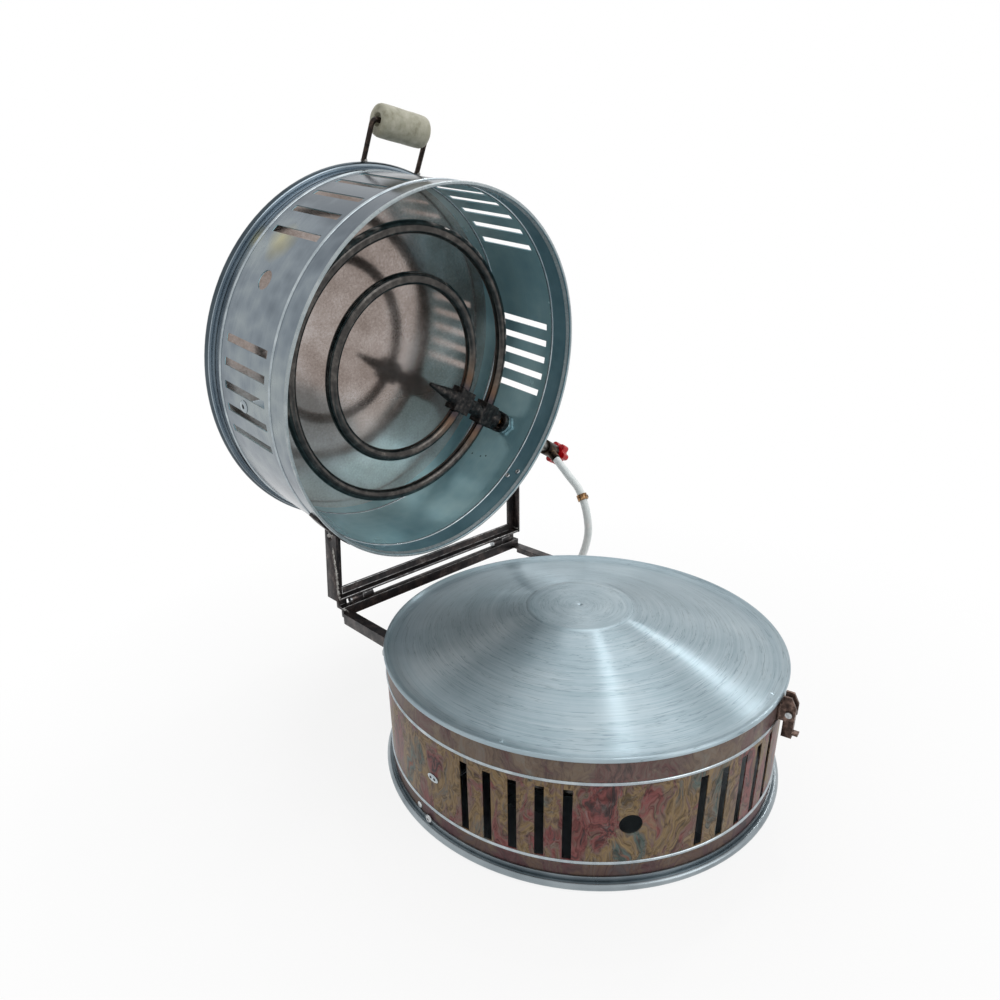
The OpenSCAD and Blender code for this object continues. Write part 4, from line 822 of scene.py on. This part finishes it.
# eyelet of the lid's burner bracket
eyelet = {"ring": 6.8, "hole": 2.4, "shank": 3, "rise": 1.4, "deep": 6, "place": (177, 84.13, 203.1)}
hole, rim = eyelet["hole"], eyelet["ring"]
eye = turned("lidBracketEye", [(hole, -eyelet["deep"]), (hole, 0.9), (hole + 0.7, eyelet["rise"]),
                               (rim - 1.2, eyelet["rise"] * 0.9), (rim, 0.2), (rim, 0), (eyelet["shank"], 0),
                               (eyelet["shank"], -eyelet["deep"])], 40)
# a dark disc at the eye's hole, painted shade
shadeDisc = turned("lidBracketEye.plug", [(0.01, 0.1), (hole + 0.05, 0)], 32)
eyePiece = joined("lidBracketEye", [wear(eye, paleZincPaintedShine), wear(shadeDisc, darkHole)])
finish(settle(eyePiece, lidPlace @ onWall(*eyelet["place"])), "lid", "bright_steel", "lid_bracket_bolt")

# oval plate of the base's burner bracket, with its two holes painted on as dark discs of shade
oval = {"long": 7.2, "short": 4.2, "rise": 1.2, "hole": 1.5, "apart": 2.7, "place": (179.4, 65.63, 203.1)}
short, rise = oval["short"], oval["rise"]
disc = turned("baseBracketPlate", [(0.01, rise), (short - 0.8, rise), (short, rise - 0.5), (short, 0),
                                   (0.01, 0)], 40)
disc.scale = (1, oval["long"] / short, 1)
parts = [wear(settle(disc), paleZincPaintedShine)]
# the two holes are dark discs, painted shade
for side in (-1, 1):
    hole = turned("baseBracketPlate.shadedHole", [(0.01, rise + 0.05), (oval["hole"], rise + 0.08),
                                            (oval["hole"] + 0.2, rise - 0.2)], 24)
    parts.append(wear(settle(hole, shifted(0, side * oval["apart"], 0)), darkHole))
ovalPiece = settle(joined("baseBracketPlate", parts), onWall(*oval["place"]))
finish(ovalPiece, "base", "bright_steel", "base_bracket_bolt")
print("bracket ends made")

# dark discs in the three holes drilled beside the lid's feed, painted shade
holeShade = {"hole": 1.22, "places": ((44.9, 101.6), (44.5, 85.9), (43.5, 78.1))}
parts = []
for angle, depth in holeShade["places"]:
    shadeDisc = turned("drillHoleShade", [(0.01, -0.35), (holeShade["hole"], -0.3), (holeShade["hole"], 0.3), (0.01, 0.35)], 20)
    parts.append(settle(shadeDisc, lidPlace @ onWall(angle, depth, drum["middle"])))
finish(wear(joined("drillHoleShade", parts), darkHole), "lid", "bright_steel")

# weld beads: drops of metal of five sizes, melted together along a line
weld = {"grain": 0.6, "soften": 2, "smallest": 0.8, "sizeStep": 0.1}


def weldBead(name, line, radius, matrix=unturned):
    drops = []
    for index, place in enumerate(line):
        size = radius * (weld["smallest"] + weld["sizeStep"] * (index * 7 % 5)) * mm
        bpy.ops.mesh.primitive_ico_sphere_add(subdivisions=2, radius=size, location=[c * mm for c in place])
        drops.append(bpy.context.object)
    bead = settle(joined(name, drops))
    melted(settle(bead, matrix), weld["grain"], weld["soften"])
    return wear(smooth(bead, 60), weldSteel)


def along(first, last, count):
    a, b = Vector(first), Vector(last)
    return [tuple(a.lerp(b, i / (count - 1))) for i in range(count)]


armSeam = (along((-143.9, 233.5, 210), (-146.2, 228, 186), 11)
           + along((-146.4, 227.6, 184), (-147.6, 226.6, 164), 9)
           + along((-147.7, 226.6, 162), (-146.8, 226.6, 150), 6))
welds = [weldBead("handleWeld.a", along((-38.6, 0.8, -2.6), (-36.4, -0.8, -2.4), 3), 2.6, handlePlace),
         weldBead("handleWeld.b", along((36.4, 0.8, -2.4), (38.6, -0.8, -2.6), 3), 2.6, handlePlace),
         weldBead("armWeld.left", along((-145.6, 228.5, 152), (-145.6, 247.5, 151.6), 9), 1.5),
         weldBead("armWeld.right", along((145.6, 228.5, 152), (145.6, 247.5, 151.6), 9), 1.5),
         weldBead("footWeld.left", along((-142.4, 234, 226), (-142.2, 241, 223), 5), 2.6),
         weldBead("armSeam", armSeam, 1.5)]
finish(joined("lidWelds", welds), "lid", "mill_scale_steel")
welds = [weldBead("barWeld.left", along((-144, 225.4, 127), (-134, 225.4, 127.4), 7), 1.4),
         weldBead("barWeld.right", along((144, 225.4, 127), (134, 225.4, 127.4), 7), 1.4),
         weldBead("barSeam", along((-143.5, 226, 137), (-137, 225.6, 129), 8), 1.4)]
finish(joined("baseWelds", welds), "base", "mill_scale_steel")
print("welds laid")

# kept solids take their finishes
dress(lidSheet, "lid_shell")
dress(backSheet, "lid_back")
dress(traySheet, "base_tray")
dress(printed, "base_shell")
dress(lidTube, "lid_outer_burner", "lid_inner_burner")
dress(baseTube, "base_outer_burner", "base_inner_burner")
dress(pipeSteel, "base_stem", "lid_stem")
dress(clampBrass, "base_jet", "lid_jet")
dress(zinc, "left_hinge_pin", "right_hinge_pin", "latch_pin")
print("solids dressed")

# floor, world and lamps: lamps are given by place, size and power
studio = {"floorSize": 12, "floorDrop": 0.0005, "floorGlow": 0.84, "fade": (0.3, 0.75), "world": 0.54,
          "target": (0, 0.05, 0.15),
          "lamps": {"frontLamp": ((0.4, -1.9, 1.7), 1.4, 12), "rightLamp": ((1.87, 0.12, 1.64), 0.12, 2.6),
                    "backLamp": ((1.02, 0.36, 2.23), 0.12, 2.3), "overLamp": ((0.9, 0.65, 2.3), 1.8, 10)}}
white = ink("#ffffff")


# how much a ray that is looked along, straight or in a mirror, sees of the white background
def seenBy(tree, direct):
    rays = put(tree, "ShaderNodeLightPath").node.outputs
    straight = maths(tree, "MULTIPLY", rays["Is Camera Ray"], direct)
    return maths(tree, "MAXIMUM", straight,
                 maths(tree, "MAXIMUM", rays["Is Glossy Ray"], rays["Is Transmission Ray"]))


clearSelection()
bpy.ops.mesh.primitive_plane_add(size=studio["floorSize"], location=(0, 0, -studio["floorDrop"]))
floor = bpy.context.object
floor.name = "floor"
paper, tree, shader = newMaterial("paperFloor", Base_Color=white, Roughness=0.9)
glow = put(tree, "ShaderNodeEmission", None, {"Color": white, "Strength": 1.0})
# the paper glows less near the object, where the shadow lies
share = spread(tree, radiusOf(tree, objectCoords(tree)), *studio["fade"], studio["floorGlow"], 1.0)
surface = put(tree, "ShaderNodeMixShader", None, None,
              {0: seenBy(tree, share), 1: shader.outputs[0], 2: glow})
tree.links.new(surface, tree.nodes["Material Output"].inputs["Surface"])
wear(floor, paper)

world = bpy.data.worlds.new("studio")
bpy.context.scene.world = world
world.use_nodes = True
tree = world.node_tree
sky = tree.nodes["Background"]
sky.inputs["Color"].default_value = white
tree.links.new(spread(tree, seenBy(tree, 1.0), 0, 1, studio["world"], 1.0), sky.inputs["Strength"])

for name, (place, size, power) in studio["lamps"].items():
    bpy.ops.object.light_add(type="AREA", location=place)
    lamp = bpy.context.object
    lamp.name = name
    lamp.data.size = size
    lamp.data.energy = power
    lamp.rotation_euler = (Vector(place) - Vector(studio["target"])).to_track_quat("Z", "Y").to_euler()

bpy.context.scene.view_settings.view_transform = "Standard"
print("stage lit")
